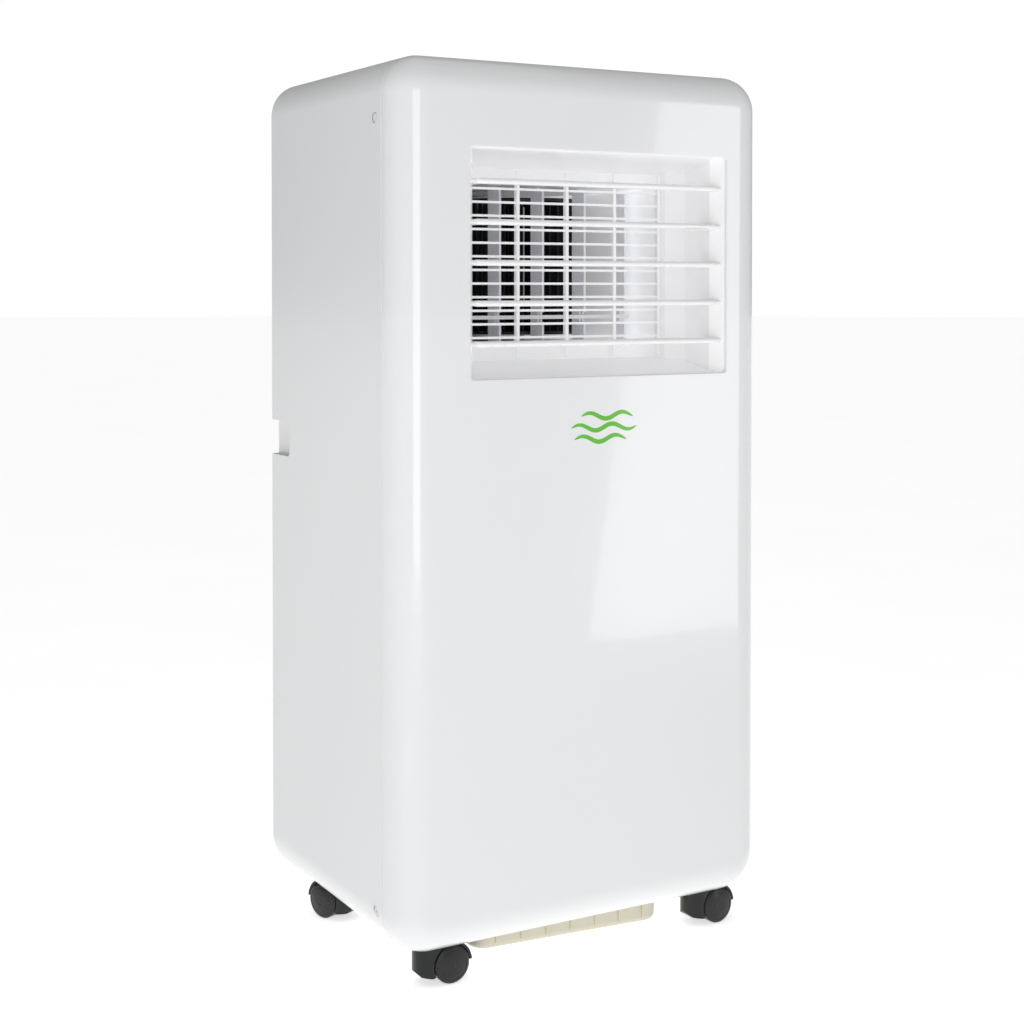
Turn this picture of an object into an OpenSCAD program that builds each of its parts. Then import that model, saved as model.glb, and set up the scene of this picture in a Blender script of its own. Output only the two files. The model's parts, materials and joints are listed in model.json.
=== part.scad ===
// Portable air conditioner: a cabinet on four twin-wheel casters, with a swinging
// louvre outlet at the front, a control panel on top, and a rear cover that holds
// the two air intakes and the exhaust hose port.
// +X is to the right seen from the front, the front faces -Y and +Z is up.
// The origin is on the floor, under the middle of the cabinet.

/* [Cabinet] */
// Width of the cabinet
body_w = 324; // [324:1:334]
// Height from the floor to the top
body_h = 680; // [680:1:700]
// Height of the cabinet's underside over the floor
body_bottom = 31; // [31:0.5:33]
// Distance from the front face back to the middle of the depth
front_y = 140; // [140:1:145]
// Depth of the front shell, and radius of its front edges
front_depth = 26; // [26:0.5:27]
// Rear edge of the side casing, behind the middle
casing_rear = 97; // [97:0.5:98]
// Corner radius of the cabinet's upper corners, seen from the front
top_r = 27.5; // [27.5:0.5:32]
// Corner radius of the cabinet's lower corners, seen from the front
bottom_r = 33; // [32:0.5:36]
// Thickness of the moulded walls
wall = 2.5; // [2:0.1:3]

/* [Air outlet] */
// Width of the outlet opening
outlet_w = 227; // [227:0.5:228]
// How far the outlet stands to the right of the cabinet's middle
outlet_x = 10; // [8:0.5:11]
// Height of the outlet's middle over the floor
outlet_z = 530.5; // [530:0.1:531]
// Height of the outlet opening
outlet_h = 167.5; // [167:0.5:168]
// Distance between one louvre and the next
louvre_pitch = 29.6; // [29:0.1:30]
// Distance between one vertical vane and the next
vane_pitch = 39.2; // [38:0.1:39.2]
// Distance between the bars of the fixed grid
bar_pitch = 10.3; // [10:0.1:10.4]

/* [Rear] */
// Width of the raised rear cover
rear_w = 270; // [268:1:270]
// Inner radius of the exhaust hose port
port_r = 65; // [60:0.5:65]

/* [Casters] */
// Radius of a caster wheel
wheel_r = 14.2; // [13.8:0.1:14.2]
// Distance from a caster's swivel axis to its axle
caster_trail = 14; // [12:0.5:14]

/* [Hidden] */
$fn = 48;
eps = 0.5;
gap = 0.4;
half_w = body_w / 2;
seam_y = -front_y + front_depth;

// Outlet, louvres and vanes
outlet_hw = outlet_w / 2;
outlet_hh = outlet_h / 2;
recess_hw = 106;
recess_lip = 12;
recess_back = 45;
louvre_y = -front_y + 6;
louvre_hw = 107;
louvre_pin_r = 1.8;
louvre_n = 5;
louvre_t = 4.4;
louvre_crank = 16;
arm_x = -100.5;
link_x = -103.5;
link_t = 2.6;
link_pin_r = 1.2;
grid_y = -front_y + 53;
grid_depth = 4;
grid_hw = 88;
grid_hh = 73;
duct_hh = 62;
frame_back = -front_y + 60;
rib_pitch = 44;
bar_n = 12;

vane_y = -41;
vane_chord = 18;
vane_hh = duct_hh - 1.5;
vane_link_z = outlet_z - 41;
vane_crank = 6;

// Fans, all on one upright shaft
fan_x = 38;
fan_y = 36;
upper_wheel_r = 55;
upper_wheel_z = outlet_z - 56;
upper_wheel_h = 112;
lower_wheel_r = 58;
lower_z = 320;
lower_hh = port_r;
lower_wheel_h = 104;
shaft_r = 4;
motor_r = 42;
deck_z = 390;
scroll_wall = 2;
duct_front = frame_back + gap;
duct_x0 = outlet_x - grid_hw;
duct_x1 = outlet_x + grid_hw;

// Rear cover and what it holds
rear_hw = rear_w / 2;
rear_z0 = 44;
rear_z1 = 654;
rear_r = 22;
rear_edge_r = 12;
port_x = 61;
lower_duct_y = 108;
port_z = lower_z;
upper_grille = [230, 192, 543];
lower_grille = [230, 145, 155];
drain_z = 66;
gland = [-100, 66];
grille_t = 5;

// Cooling circuit: the coils, their end bends, the compressor, and where pipes rise through the deck
coil_hw = 116;
coil_y = 121.5;
coil_end = 127;
comp = [-58, -28];
riser = [148, 30];
drier = [146, 50];

// Grip recesses in both sides, open to the rear
grip_z0 = 377;
grip_z1 = 405;
grip_front = 59;
grip_depth = 6;
grip_in = half_w - grip_depth;

// Panel, buttons and their switches
panel_hw = 96;
panel_y0 = -78;
panel_y1 = -18;
panel_z = body_h - 0.8;
panel_t = 3;
button_r = 6;
button_x = [-78, -55, -32, 32, 55, 78];
button_y = -54;

// Base pan and casters
pan_hw = 84;
pan_x = 2;
pan_z = 13;
pan_tilt = 2;
pan_rib_pitch = 22;
pan_y0 = -105;
pan_y1 = 92;
pan_flange_left = half_w - 58;
flange_z = body_bottom + wall;
flange_t = 3;
floor_z = flange_z + flange_t;
caster_x = 121;
caster_dx = 2.5;
caster_front = -100;
caster_rear = 48;
stem_r = 4;
axle_r = 2;
hood_r = wheel_r + 2.6;
hood_top = body_bottom - 1;
wheel_w = 11;
web_w = 5;
hood_hw = web_w / 2 + wheel_w - 1.5;
caster_at = [for (y = [caster_front, caster_rear], side = [-1, 1]) [caster_dx + side * caster_x, y]];
caster_turn = [0, 5, 112, 40];

// Screws
screw_r = 1.5;
side_screw_y = -103;
side_screw_z = [61, 321, 635];
rear_screw_z = [60, 240, 420, 640];

// Radius of the scroll at an angle: it grows evenly along its turn
function scroll_r(r0, r1, t) = r0 + (r1 - r0) * t;
function scroll_pt(c, r0, r1, a0, a1, t, off) =
  let (a = a0 + (a1 - a0) * t)
  let (r = scroll_r(r0, r1, t) + off)
  [c[0] + r * cos(a), c[1] + r * sin(a)];

// ---------- shared shapes ----------

// A quarter disc in the first quadrant
module quarter(r) {
  intersection() {
    circle(r);
    square(r + eps);
  }
}

// A rectangle from the origin whose far upper corner is rounded
module edge_profile(len, h, r) {
  square([len - r, h]);
  if (h > r) translate([len - r, 0]) square([r, h - r]);
  translate([len - r, h - r]) quarter(r);
}

// One quadrant of a box with rounded upright corners and a rounded upper rim
module soft_quadrant(hw, hl, h, rc, rim) {
  translate([hw - rc, hl - rc, 0]) rotate_extrude(angle = 90) edge_profile(rc, h, rim);
  translate([hw - rc, 0, 0]) translate([0, hl - rc, 0]) rotate([90, 0, 0])
    linear_extrude(hl - rc) edge_profile(rc, h, rim);
  translate([0, hl - rc, 0]) rotate([90, 0, 90]) linear_extrude(hw - rc) edge_profile(rc, h, rim);
  cube([hw - rc, hl - rc, h]);
}

// A box that stands on z = 0, with rim-rounded top; the +Y and -Y corners may differ
module soft_box(hw, y0, y1, h, r0, r1, rim) {
  mid = (y0 + y1) / 2;
  hl = (y1 - y0) / 2;
  translate([0, mid, 0]) {
    soft_quadrant(hw, hl, h, r1, rim);
    mirror([1, 0, 0]) soft_quadrant(hw, hl, h, r1, rim);
    mirror([0, 1, 0]) soft_quadrant(hw, hl, h, r0, rim);
    mirror([1, 0, 0]) mirror([0, 1, 0]) soft_quadrant(hw, hl, h, r0, rim);
  }
}

// A flat rectangle with its own radius for the lower and the upper corners
module soft_outline(hw, y0, y1, r0, r1) {
  mid = (y0 + y1) / 2;
  for (side = [0, 1]) mirror([side, 0]) {
    square_between([0, y0], [hw - r0, mid]);
    square_between([0, mid], [hw - r1, y1]);
    square_between([hw - r0, y0 + r0], [hw, mid]);
    square_between([hw - r1, mid], [hw, y1 - r1]);
    translate([hw - r0, y0 + r0]) mirror([0, 1]) quarter(r0);
    translate([hw - r1, y1 - r1]) quarter(r1);
  }
}

module square_between(a, b) {
  translate(a) square([b[0] - a[0], b[1] - a[1]]);
}

// A box given by its two opposite corners
module block(a, b) {
  translate(a) cube([b[0] - a[0], b[1] - a[1], b[2] - a[2]]);
}

// Stands a shape drawn in XY up so that its Y becomes +Z and its thickness runs to -Y
module face_front() {
  rotate([90, 0, 0]) children();
}

// The same, but the thickness runs to +Y
module face_rear() {
  mirror([0, 1, 0]) rotate([90, 0, 0]) children();
}

// A cylinder along X, from x0 to x1
module rod_x(x0, x1, r) {
  translate([x0, 0, 0]) rotate([0, 90, 0]) cylinder(r = r, h = x1 - x0);
}

// A cylinder along Y, from y0 to y1
module rod_y(y0, y1, r) {
  translate([0, y0, 0]) rotate([-90, 0, 0]) cylinder(r = r, h = y1 - y0);
}

// A pipe that runs straight from point to point, with ball corners
module pipe(points, r) {
  for (i = [0 : len(points) - 2]) {
    d = points[i + 1] - points[i];
    n = norm(d);
    translate(points[i]) rotate([0, acos(d[2] / n), atan2(d[1], d[0])]) cylinder(r = r, h = n);
  }
  for (i = [1 : len(points) - 2]) translate(points[i]) sphere(r = r);
}

// A strip of wall that follows a scroll's spiral
module scroll_strip(c, r0, r1, a0, a1, z0, z1) {
  steps = 24;
  inner = [for (i = [0 : steps]) scroll_pt(c, r0, r1, a0, a1, i / steps, 0)];
  outer = [for (i = [steps : -1 : 0]) scroll_pt(c, r0, r1, a0, a1, i / steps, scroll_wall)];
  translate([0, 0, z0]) linear_extrude(z1 - z0) polygon(concat(inner, outer));
}

// An upright wall through points in plan, given as a closed outline
module wall_outline(points, z0, z1) {
  translate([0, 0, z0]) linear_extrude(z1 - z0) polygon(points);
}

// A squirrel-cage wheel: back plate with hub, ring of blades and end ring
module cage_wheel(r, h, blades, bore_r) {
  difference() {
    cylinder(r = r, h = 2.5);
    translate([0, 0, -1]) cylinder(r = bore_r, h = 5);
  }
  difference() {
    translate([0, 0, 2.5]) cylinder(r = 11, h = 22);
    translate([0, 0, 1]) cylinder(r = bore_r, h = 25);
  }
  for (i = [0 : blades - 1]) rotate([0, 0, 360 / blades * i])
    translate([r - 5, 0, 2]) rotate([0, 0, 35]) translate([-5, -0.6, 0]) cube([9, 1.2, h - 4.5]);
  translate([0, 0, h - 3]) difference() {
    cylinder(r = r, h = 3);
    translate([0, 0, -1]) cylinder(r = r - 11, h = 5);
  }
}

// A finned heat exchanger that stands in the XZ plane
module coil_block(hw, y0, y1, z0, z1) {
  for (x = [-hw, hw - 2]) block([x, y0, z0], [x + 2, y1, z1]);
  block([-hw + 2, y0 + 1, z0 + 1], [hw - 2, y1 - 1, z1 - 1]);
  rows = floor((z1 - z0 - 20) / 24);
  for (i = [0 : rows], side = [0, 1]) translate([0, (y0 + y1) / 2, z0 + 12 + 24 * i])
    mirror([side, 0, 0]) rod_x(hw, hw + 7, 4);
}

// A grille with slats across and a few ribs up, in a border
module slat_grille(size, t, slat, pitch, rib_pitch) {
  w = size[0];
  h = size[1];
  border = 7;
  difference() {
    translate([-w / 2, 0, -h / 2]) cube([w, t, h]);
    translate([-w / 2 + border, -1, -h / 2 + border]) cube([w - 2 * border, t + 2, h - 2 * border]);
  }
  inner = h - 2 * border;
  n = floor(inner / pitch);
  for (i = [1 : n - 1]) translate([-w / 2 + border, 1, -inner / 2 + inner / n * i - slat / 2])
    cube([w - 2 * border, t - 1, slat]);
  ribs = floor((w - 2 * border) / rib_pitch);
  for (i = [1 : ribs - 1]) translate([-w / 2 + border + (w - 2 * border) / ribs * i - 0.8, 0, -inner / 2])
    cube([1.6, 1, inner]);
}

// ---------- cabinet ----------

// The front: flat face, rounded all round, with the outlet opening and screw tabs
module front_shell() {
  color("white") difference() {
    union() {
      difference() {
        translate([0, seam_y, 0]) face_front() soft_box(half_w, body_bottom, body_h, front_depth,
                                                        bottom_r, top_r, front_depth);
        translate([0, seam_y + 1, 0]) face_front()
          soft_box(half_w - wall, body_bottom + wall, body_h - wall, front_depth + 1 - wall,
                   bottom_r - wall, top_r - wall, front_depth - wall);
      }
      for (z = side_screw_z, side = [0, 1]) mirror([side, 0, 0])
        screw_tab(z);
    }
    translate([outlet_x, 0, 0])
      block([-outlet_hw, -front_y - 1, outlet_z - outlet_hh], [outlet_hw, -front_y + 6, outlet_z + outlet_hh]);
    for (z = side_screw_z, side = [0, 1]) mirror([side, 0, 0])
      translate([0, side_screw_y, z]) rod_x(half_w - 26, half_w, screw_r + 0.05);
  }
}

// A tab that reaches back inside the casing, for one screw
module screw_tab(z) {
  intersection() {
    block([half_w - 24, seam_y - 5, z - 8], [half_w, -95, z + 8]);
    translate([0, -90, 0]) face_front() linear_extrude(40) difference() {
      soft_outline(half_w - wall - 0.3, body_bottom + wall + 0.3, body_h - wall - 0.3,
                   bottom_r - wall - 0.3, top_r - wall - 0.3);
      soft_outline(half_w - wall - 4, body_bottom + wall + 4, body_h - wall - 4,
                   bottom_r - wall - 4, top_r - wall - 4);
    }
  }
  intersection() {
    block([half_w - 24, seam_y - 5, z - 8], [half_w, seam_y, z + 8]);
    translate([0, seam_y + 2, 0]) face_front() linear_extrude(20) difference() {
      soft_outline(half_w - 1, body_bottom + 1, body_h - 1, bottom_r - 1, top_r - 1);
      soft_outline(half_w - wall - 4, body_bottom + wall + 4, body_h - wall - 4,
                   bottom_r - wall - 4, top_r - wall - 4);
    }
  }
}

// Where the outer wall stands at a screw's height, behind the full half width
function wall_in(z) =
  let (low = body_bottom + bottom_r)
  let (high = body_h - top_r)
  z < low ? bottom_r - sqrt(pow(bottom_r, 2) - pow(low - z, 2)) :
  z > high ? top_r - sqrt(pow(top_r, 2) - pow(z - high, 2)) : 0;

// The wrap: both sides, top and bottom, with grips, panel opening and caster sockets
module side_casing() {
  color("white") difference() {
    union() {
      translate([0, casing_rear, 0]) face_front() linear_extrude(casing_rear - seam_y - gap)
        difference() {
          soft_outline(half_w, body_bottom, body_h, bottom_r, top_r);
          soft_outline(half_w - wall, body_bottom + wall, body_h - wall, bottom_r - wall, top_r - wall);
        }
      for (p = caster_at) translate([p[0], p[1], body_bottom + wall / 2]) cylinder(r = 7, h = 26);
    }
    for (side = [0, 1]) mirror([side, 0, 0]) {
      block([half_w - 6, grip_front + 4, grip_z0], [half_w + 1, casing_rear + 1, grip_z1]);
      translate([0, grip_front + 4, 0]) {
        block([half_w - 6, -4, grip_z0 + 4], [half_w + 1, 0.1, grip_z1 - 4]);
        for (z = [grip_z0 + 4, grip_z1 - 4]) translate([0, 0, z]) rod_x(half_w - 6, half_w + 1, 4);
      }
      for (z = side_screw_z) translate([-wall_in(z), side_screw_y, z]) {
        rod_x(half_w - 8, half_w + 3, screw_r + 0.4);
        rod_x(half_w - 1.2, half_w + 3, 4.2);
      }
    }
    for (p = caster_at) translate([p[0], p[1], body_bottom - 1]) cylinder(r = stem_r + 0.05, h = 26);
    block([-panel_hw, panel_y0, body_h - wall - 1], [panel_hw, panel_y1, body_h + 1]);
    block([pan_x - pan_hw - 1, pan_y0 - 3, body_bottom - 1], [pan_x + pan_hw + 1, pan_y1 - 2, body_bottom + wall + 1]);
  }
}

// The back: a flange inside the casing's rear edge and a raised, rounded housing
module rear_cover() {
  color("white") difference() {
    union() {
      translate([0, casing_rear, 0]) face_front() linear_extrude(wall)
        soft_outline(half_w - wall - gap, body_bottom + wall + gap, body_h - wall - gap,
                     bottom_r - wall - gap, top_r - wall - gap);
      translate([0, casing_rear, 0]) face_rear() soft_box(rear_hw, rear_z0, rear_z1,
                                                          front_y - casing_rear, rear_r, rear_r, rear_edge_r);
    }
    translate([0, casing_rear - wall - 1, 0]) face_rear()
      soft_box(rear_hw - wall, rear_z0 + wall, rear_z1 - wall, front_y - casing_rear + 1,
               rear_r - wall, rear_r - wall, rear_edge_r - wall);
    for (g = [upper_grille, lower_grille])
      block([-g[0] / 2 - 0.5, front_y - 6, g[2] - g[1] / 2 - 0.5], [g[0] / 2 + 0.5, front_y + 1, g[2] + g[1] / 2 + 0.5]);
    translate([port_x, 0, port_z]) rod_y(front_y - 8, front_y + 1, port_r + wall + 0.2);
    for (side = [0, 1]) mirror([side, 0, 0]) {
      block([grip_in - 2.8, casing_rear - wall - 1, grip_z0 - 3], [half_w, casing_rear + 1, grip_z1 + 3]);
      for (z = rear_screw_z) translate([rear_hw + 9, 0, z]) rod_y(casing_rear - 6, casing_rear + 1, screw_r + 0.3);
    }
    translate([gland[0], 0, gland[1]]) rod_y(front_y - 8, front_y + 1, 7);
    translate([pan_x, 0, drain_z]) rod_y(front_y - 8, front_y + 1, 8.5);
  }
}

// A shallow cup behind each side opening, for the fingertips
module grip(side) {
  color("white") mirror([side, 0, 0]) difference() {
    block([grip_in - 2.5, grip_front - 3, grip_z0 - 2.5], [half_w - wall - 0.3, casing_rear, grip_z1 + 2.5]);
    block([grip_in, grip_front, grip_z0], [half_w, casing_rear + 1, grip_z1]);
  }
}
module grip_left() { grip(1); }
module grip_right() { grip(0); }

// The tray under everything: its well shows below the cabinet and slopes down to the right,
// its flange carries the compressor
module base_pan() {
  color("wheat") block([pan_x - pan_hw + 3, comp[1] - 56, flange_z], [pan_x + pan_hw - 3, comp[1] + 58, floor_z]);
  color("wheat") translate([pan_x, 0, 0]) difference() {
    union() {
      intersection() {
        pan_slope() {
          soft_box(pan_hw, pan_y0, pan_y1 - 3, flange_z + 5 - pan_z, 14, 14, 5);
          for (i = [-3 : 3]) translate([i * pan_rib_pitch, 0, 0])
            block([-0.8, pan_y0 - 1.2, 0], [0.8, pan_y0 + 1, flange_z - pan_z]);
        }
        block([-pan_hw - 1, pan_y0 - 2, 0], [pan_hw + 1, pan_y1, flange_z + 1]);
      }
      block([-pan_flange_left, pan_y0 + 3, flange_z], [pan_hw + 4, pan_y1, floor_z]);
      translate([0, 0, drain_z]) {
        rod_y(78, front_y - 1, 7);
        block([-9, 80, flange_z - drain_z], [9, 92, 9]);
      }
    }
    pan_slope() soft_box(pan_hw - 2, pan_y0 + 2, pan_y1 - 5, flange_z + 5 - pan_z - 2, 12, 12, 3);
    translate([0, 0, drain_z]) rod_y(80, front_y, 5);
    translate([0, 85, flange_z - 5]) cylinder(r = 4, h = drain_z - flange_z + 5);
  }
}

// Hangs a shape upside down from just over the flange, tilted like the tray's well
module pan_slope() {
  rotate([0, pan_tilt, 0]) translate([0, 0, flange_z + 5]) mirror([0, 0, 1]) children();
}

// ---------- outlet ----------

// Height of louvre k, counted from the top
function louvre_z(k) = outlet_z + 0.5 + louvre_pitch * ((louvre_n - 1) / 2 - k);

// Side view of the outlet recess: it narrows a little toward the grid
module recess_side() {
  polygon([[-front_y - 1, -outlet_hh], [-front_y + recess_lip, -outlet_hh + 1], [grid_y + grid_depth, -grid_hh],
           [grid_y + grid_depth, grid_hh], [-front_y + recess_lip, outlet_hh - 1], [-front_y - 1, outlet_hh]]);
}

// Plan of the outlet recess: slanted pivot strips, straight walls, then in to the grid
module recess_plan() {
  polygon([[-outlet_hw, -front_y - 1], [-outlet_hw, -front_y + 1], [-recess_hw, -front_y + recess_lip],
           [-recess_hw, -front_y + recess_back], [-grid_hw - 2, -front_y + recess_back + 5],
           [-grid_hw, grid_y + grid_depth], [grid_hw, grid_y + grid_depth],
           [grid_hw + 2, -front_y + recess_back + 5], [recess_hw, -front_y + recess_back],
           [recess_hw, -front_y + recess_lip], [outlet_hw, -front_y + 1], [outlet_hw, -front_y - 1]]);
}

// The moulded recess that carries the grid and the louvre pivots
module outlet_frame() {
  color("white") translate([outlet_x, 0, 0]) difference() {
    block([-outlet_hw - 3, -front_y + wall, outlet_z - outlet_hh - 3],
          [outlet_hw + 3, frame_back, outlet_z + outlet_hh + 3]);
    intersection() {
      translate([0, 0, outlet_z - outlet_hh - 5]) linear_extrude(outlet_h + 10) recess_plan();
      translate([-outlet_hw - 5, 0, outlet_z]) rotate([90, 0, 90]) linear_extrude(outlet_w + 10) recess_side();
    }
    block([-grid_hw, grid_y, outlet_z - duct_hh], [grid_hw, frame_back + 1, outlet_z + duct_hh]);
    for (k = [0 : louvre_n - 1]) translate([0, louvre_y, louvre_z(k)])
      rod_x(-outlet_hw - 1, outlet_hw + 1, louvre_pin_r + 0.05);
  }
}

// The fixed grid of thin bars with upright ribs in front of them
module outlet_grid() {
  color("white") translate([outlet_x, 0, 0]) {
    for (i = [0 : bar_n - 1]) {
      z = outlet_z + 1 + bar_pitch * (i - (bar_n - 1) / 2);
      block([-grid_hw + 0.3, grid_y + 1, z - 0.9], [grid_hw - 0.3, grid_y + grid_depth - 0.2, z + 0.9]);
    }
    for (i = [-2 : 2]) {
      x = i * rib_pitch - (abs(i) == 2 ? sign(i) * 2 : 0);
      block([x - 1.3, grid_y, outlet_z - duct_hh + 0.3], [x + 1.3, grid_y + grid_depth - 0.2, outlet_z + duct_hh - 0.3]);
      block([x - 1, grid_y, outlet_z - grid_hh + 1], [x + 1, grid_y + 2, outlet_z + grid_hh - 1]);
    }
  }
}

// A louvre blade: rounded front corners, a pin at each end, and an arm at the left
// whose crank pin holds the link
module louvre(k) {
  color("white") translate([outlet_x, louvre_y, louvre_z(k)]) {
    translate([0, 0, -louvre_t / 2]) linear_extrude(louvre_t) louvre_plan();
    block([arm_x, 8, -louvre_t / 2], [arm_x + 2.5, louvre_crank + 2, louvre_t / 2]);
    translate([0, louvre_crank, 0]) rod_x(link_x - link_t / 2 - 0.6, arm_x + 0.2, link_pin_r);
    for (side = [0, 1]) mirror([side, 0, 0]) rod_x(louvre_hw - 6, outlet_hw, louvre_pin_r);
    if (k == 1) for (i = [0 : 5]) block([78 + 3 * i, -4, -louvre_t / 2 - 1.4], [79.5 + 3 * i, -1, -louvre_t / 2]);
  }
}
module louvre_plan() {
  polygon([[-louvre_hw + 2.5, 11], [-louvre_hw, 0], [-louvre_hw, -1.5], [-louvre_hw + 1.2, -3.6],
           [-louvre_hw + 3.5, -4.5], [louvre_hw - 3.5, -4.5], [louvre_hw - 1.2, -3.6],
           [louvre_hw, -1.5], [louvre_hw, 0], [louvre_hw - 2.5, 11]]);
}
module louvre_1() { louvre(0); }
module louvre_2() { louvre(1); }
module louvre_3() { louvre(2); }
module louvre_4() { louvre(3); }
module louvre_5() { louvre(4); }

// The upright bar at the left end that makes the louvres turn together
module louvre_link() {
  y = louvre_y + louvre_crank;
  color("gainsboro") translate([outlet_x, 0, 0]) difference() {
    block([link_x - link_t / 2, y - 2, louvre_z(louvre_n - 1) - 4], [link_x + link_t / 2, y + 2, louvre_z(0) + 4]);
    for (k = [0 : louvre_n - 1]) translate([0, y, louvre_z(k)])
      rod_x(link_x - link_t, link_x + link_t, link_pin_r + (k == 2 ? 0.05 : 0.3));
  }
}

// An upright vane with a pin at each end, notched where the link crosses it
module vane(i) {
  color("whitesmoke") translate([outlet_x + i * vane_pitch, vane_y, 0]) {
    difference() {
      block([-1, -vane_chord / 2, outlet_z - vane_hh], [1, vane_chord / 2, outlet_z + vane_hh]);
      block([-2, -vane_chord / 2 - 1, vane_link_z - 4], [2, -vane_crank + 4, vane_link_z + 4]);
    }
    translate([0, -vane_crank, vane_link_z - 5]) cylinder(r = 1, h = 10);
    for (z = [outlet_z - duct_hh - 3, outlet_z + vane_hh - 1]) translate([0, 0, z])
      cylinder(r = 2, h = duct_hh - vane_hh + 4);
  }
}
module vane_1() { vane(-2); }
module vane_2() { vane(-1); }
module vane_3() { vane(0); }
module vane_4() { vane(1); }
module vane_5() { vane(2); }

// The flat bar that makes the vanes turn together
module vane_link() {
  color("white") translate([outlet_x, vane_y - vane_crank, vane_link_z - 1.5]) difference() {
    translate([-2 * vane_pitch - 4, -2.2, 0]) cube([4 * vane_pitch + 8, 4.4, 3]);
    for (i = [-2 : 2]) translate([i * vane_pitch, 0, -1]) cylinder(r = 1 + (i == 0 ? 0.05 : 0.3), h = 5);
  }
}

// ---------- upper air path ----------

// The spiral housing: floor plate and walls, open to the outlet in front
module upper_scroll() {
  c = [fan_x, fan_y];
  z0 = outlet_z - duct_hh;
  z1 = outlet_z + duct_hh;
  color("white") {
    difference() {
      scroll_plate(z0 - 6);
      translate([fan_x, fan_y, z0 - 7]) cylinder(r = shaft_r + 2, h = 8);
      for (i = [-2 : 2]) translate([outlet_x + i * vane_pitch, vane_y, z0 - 3.5]) cylinder(r = 2.05, h = 5);
    }
    scroll_strip(c, 61, 80, 0, 180, z0, z1);
    wall_outline([[duct_x1, duct_front], [duct_x1 + 2, duct_front], [fan_x + 63, fan_y], [fan_x + 61, fan_y]], z0, z1);
    wall_outline([[duct_x0 - 2, duct_front], [duct_x0, duct_front], [duct_x0, -30], [fan_x - 80, fan_y],
                  [fan_x - 82, fan_y], [duct_x0 - 2, -30]], z0, z1);
  }
}

// Outline shared by the housing's floor and its lid
module scroll_plate(z) {
  c = [fan_x, fan_y];
  spiral = [for (i = [0 : 24]) scroll_pt(c, 61, 80, 0, 180, i / 24, scroll_wall)];
  translate([0, 0, z]) linear_extrude(6)
    polygon(concat([[duct_x1 + 2, duct_front]], spiral, [[duct_x0 - 2, -30], [duct_x0 - 2, duct_front]]));
}

// The lid of the upper housing, with the round inlet over the wheel
module upper_scroll_lid() {
  z = outlet_z + duct_hh;
  color("white") difference() {
    scroll_plate(z);
    translate([fan_x, fan_y, z - 1]) cylinder(r = upper_wheel_r - 8, h = 9);
    for (i = [-2 : 2]) translate([outlet_x + i * vane_pitch, vane_y, z - 1]) cylinder(r = 2.05, h = 4.5);
  }
}

module upper_wheel() {
  color("dimgray") translate([fan_x, fan_y, upper_wheel_z]) cage_wheel(upper_wheel_r, upper_wheel_h, 40, shaft_r);
}

// The one upright shaft that carries both wheels
module fan_shaft() {
  low = lower_z + lower_wheel_h / 2 - 26;
  color("silver") translate([fan_x, fan_y, low]) cylinder(r = shaft_r, h = upper_wheel_z + 26 - low);
}

// The motor: a can with end bosses, hollow for the shaft, on a foot ring
module fan_motor() {
  color("silver") translate([fan_x, fan_y, 0]) difference() {
    union() {
      translate([0, 0, deck_z + 8]) cylinder(r = motor_r, h = 54);
      translate([0, 0, deck_z + 62]) cylinder(r = 12, h = 7);
      translate([0, 0, deck_z]) cylinder(r = motor_r + 10, h = 8);
    }
    translate([0, 0, deck_z - 1]) cylinder(r = shaft_r + 0.05, h = 80);
  }
}

module lower_wheel() {
  color("dimgray") translate([fan_x, fan_y, lower_z + lower_wheel_h / 2]) mirror([0, 0, 1])
    cage_wheel(lower_wheel_r, lower_wheel_h, 40, shaft_r);
}

// ---------- lower air path ----------

// Outline of the lower housing's plates: a spiral that opens to the rear
module lower_plate(z, h) {
  c = [fan_x, fan_y];
  spiral = [for (i = [0 : 24]) scroll_pt(c, 62, 90, 90, 360, i / 24, scroll_wall)];
  translate([0, 0, z]) linear_extrude(h)
    polygon(concat(spiral, [[fan_x + 90 + scroll_wall, 96], [port_x + port_r + 3, lower_duct_y],
                            [port_x - port_r - 3, lower_duct_y], [fan_x - 32, 103]]));
}
// The spiral housing of the condenser fan, with a lid above and the inlet below
module lower_scroll() {
  c = [fan_x, fan_y];
  z0 = lower_z - lower_hh;
  z1 = lower_z + lower_hh;
  color("lightgray") {
    scroll_strip(c, 62, 90, 90, 360, z0, z1);
    wall_outline([[fan_x + 90, fan_y], [fan_x + 92, fan_y], [fan_x + 92, 96], [port_x + port_r + 3, lower_duct_y],
                  [port_x + port_r + 1, lower_duct_y], [fan_x + 90, 96]], z0, z1);
    wall_outline([[fan_x, fan_y + 62], [fan_x, fan_y + 64], [port_x - port_r - 1, lower_duct_y],
                  [port_x - port_r - 3, lower_duct_y], [fan_x - 34, 103]], z0, z1);
    difference() {
      lower_plate(z1, deck_z - 2.5 - z1);
      translate([fan_x, fan_y, z1 - 1]) cylinder(r = shaft_r + 2, h = 5);
    }
  }
}

module lower_inlet_plate() {
  z = lower_z - lower_hh - 3;
  color("lightgray") difference() {
    lower_plate(z, 3);
    translate([fan_x, fan_y, z - 1]) cylinder(r = lower_wheel_r - 10, h = 5);
  }
}

// The deck between the cold and the hot half, with the shaft's passage
module mid_deck() {
  color("gainsboro") difference() {
    block([-half_w + 4, seam_y + 6, deck_z - 2.5], [half_w - 4, casing_rear - wall - 1, deck_z]);
    translate([fan_x, fan_y, deck_z - 4]) cylinder(r = shaft_r + 4, h = 6);
    for (p = [riser, drier]) translate([p[0], p[1], deck_z - 4]) cylinder(r = 5.5, h = 6);
    for (side = [0, 1]) mirror([side, 0, 0])
      block([grip_in - 3, grip_front - 5, deck_z - 4], [half_w, casing_rear, deck_z + 1]);
  }
}

// ---------- cooling circuit ----------

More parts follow.
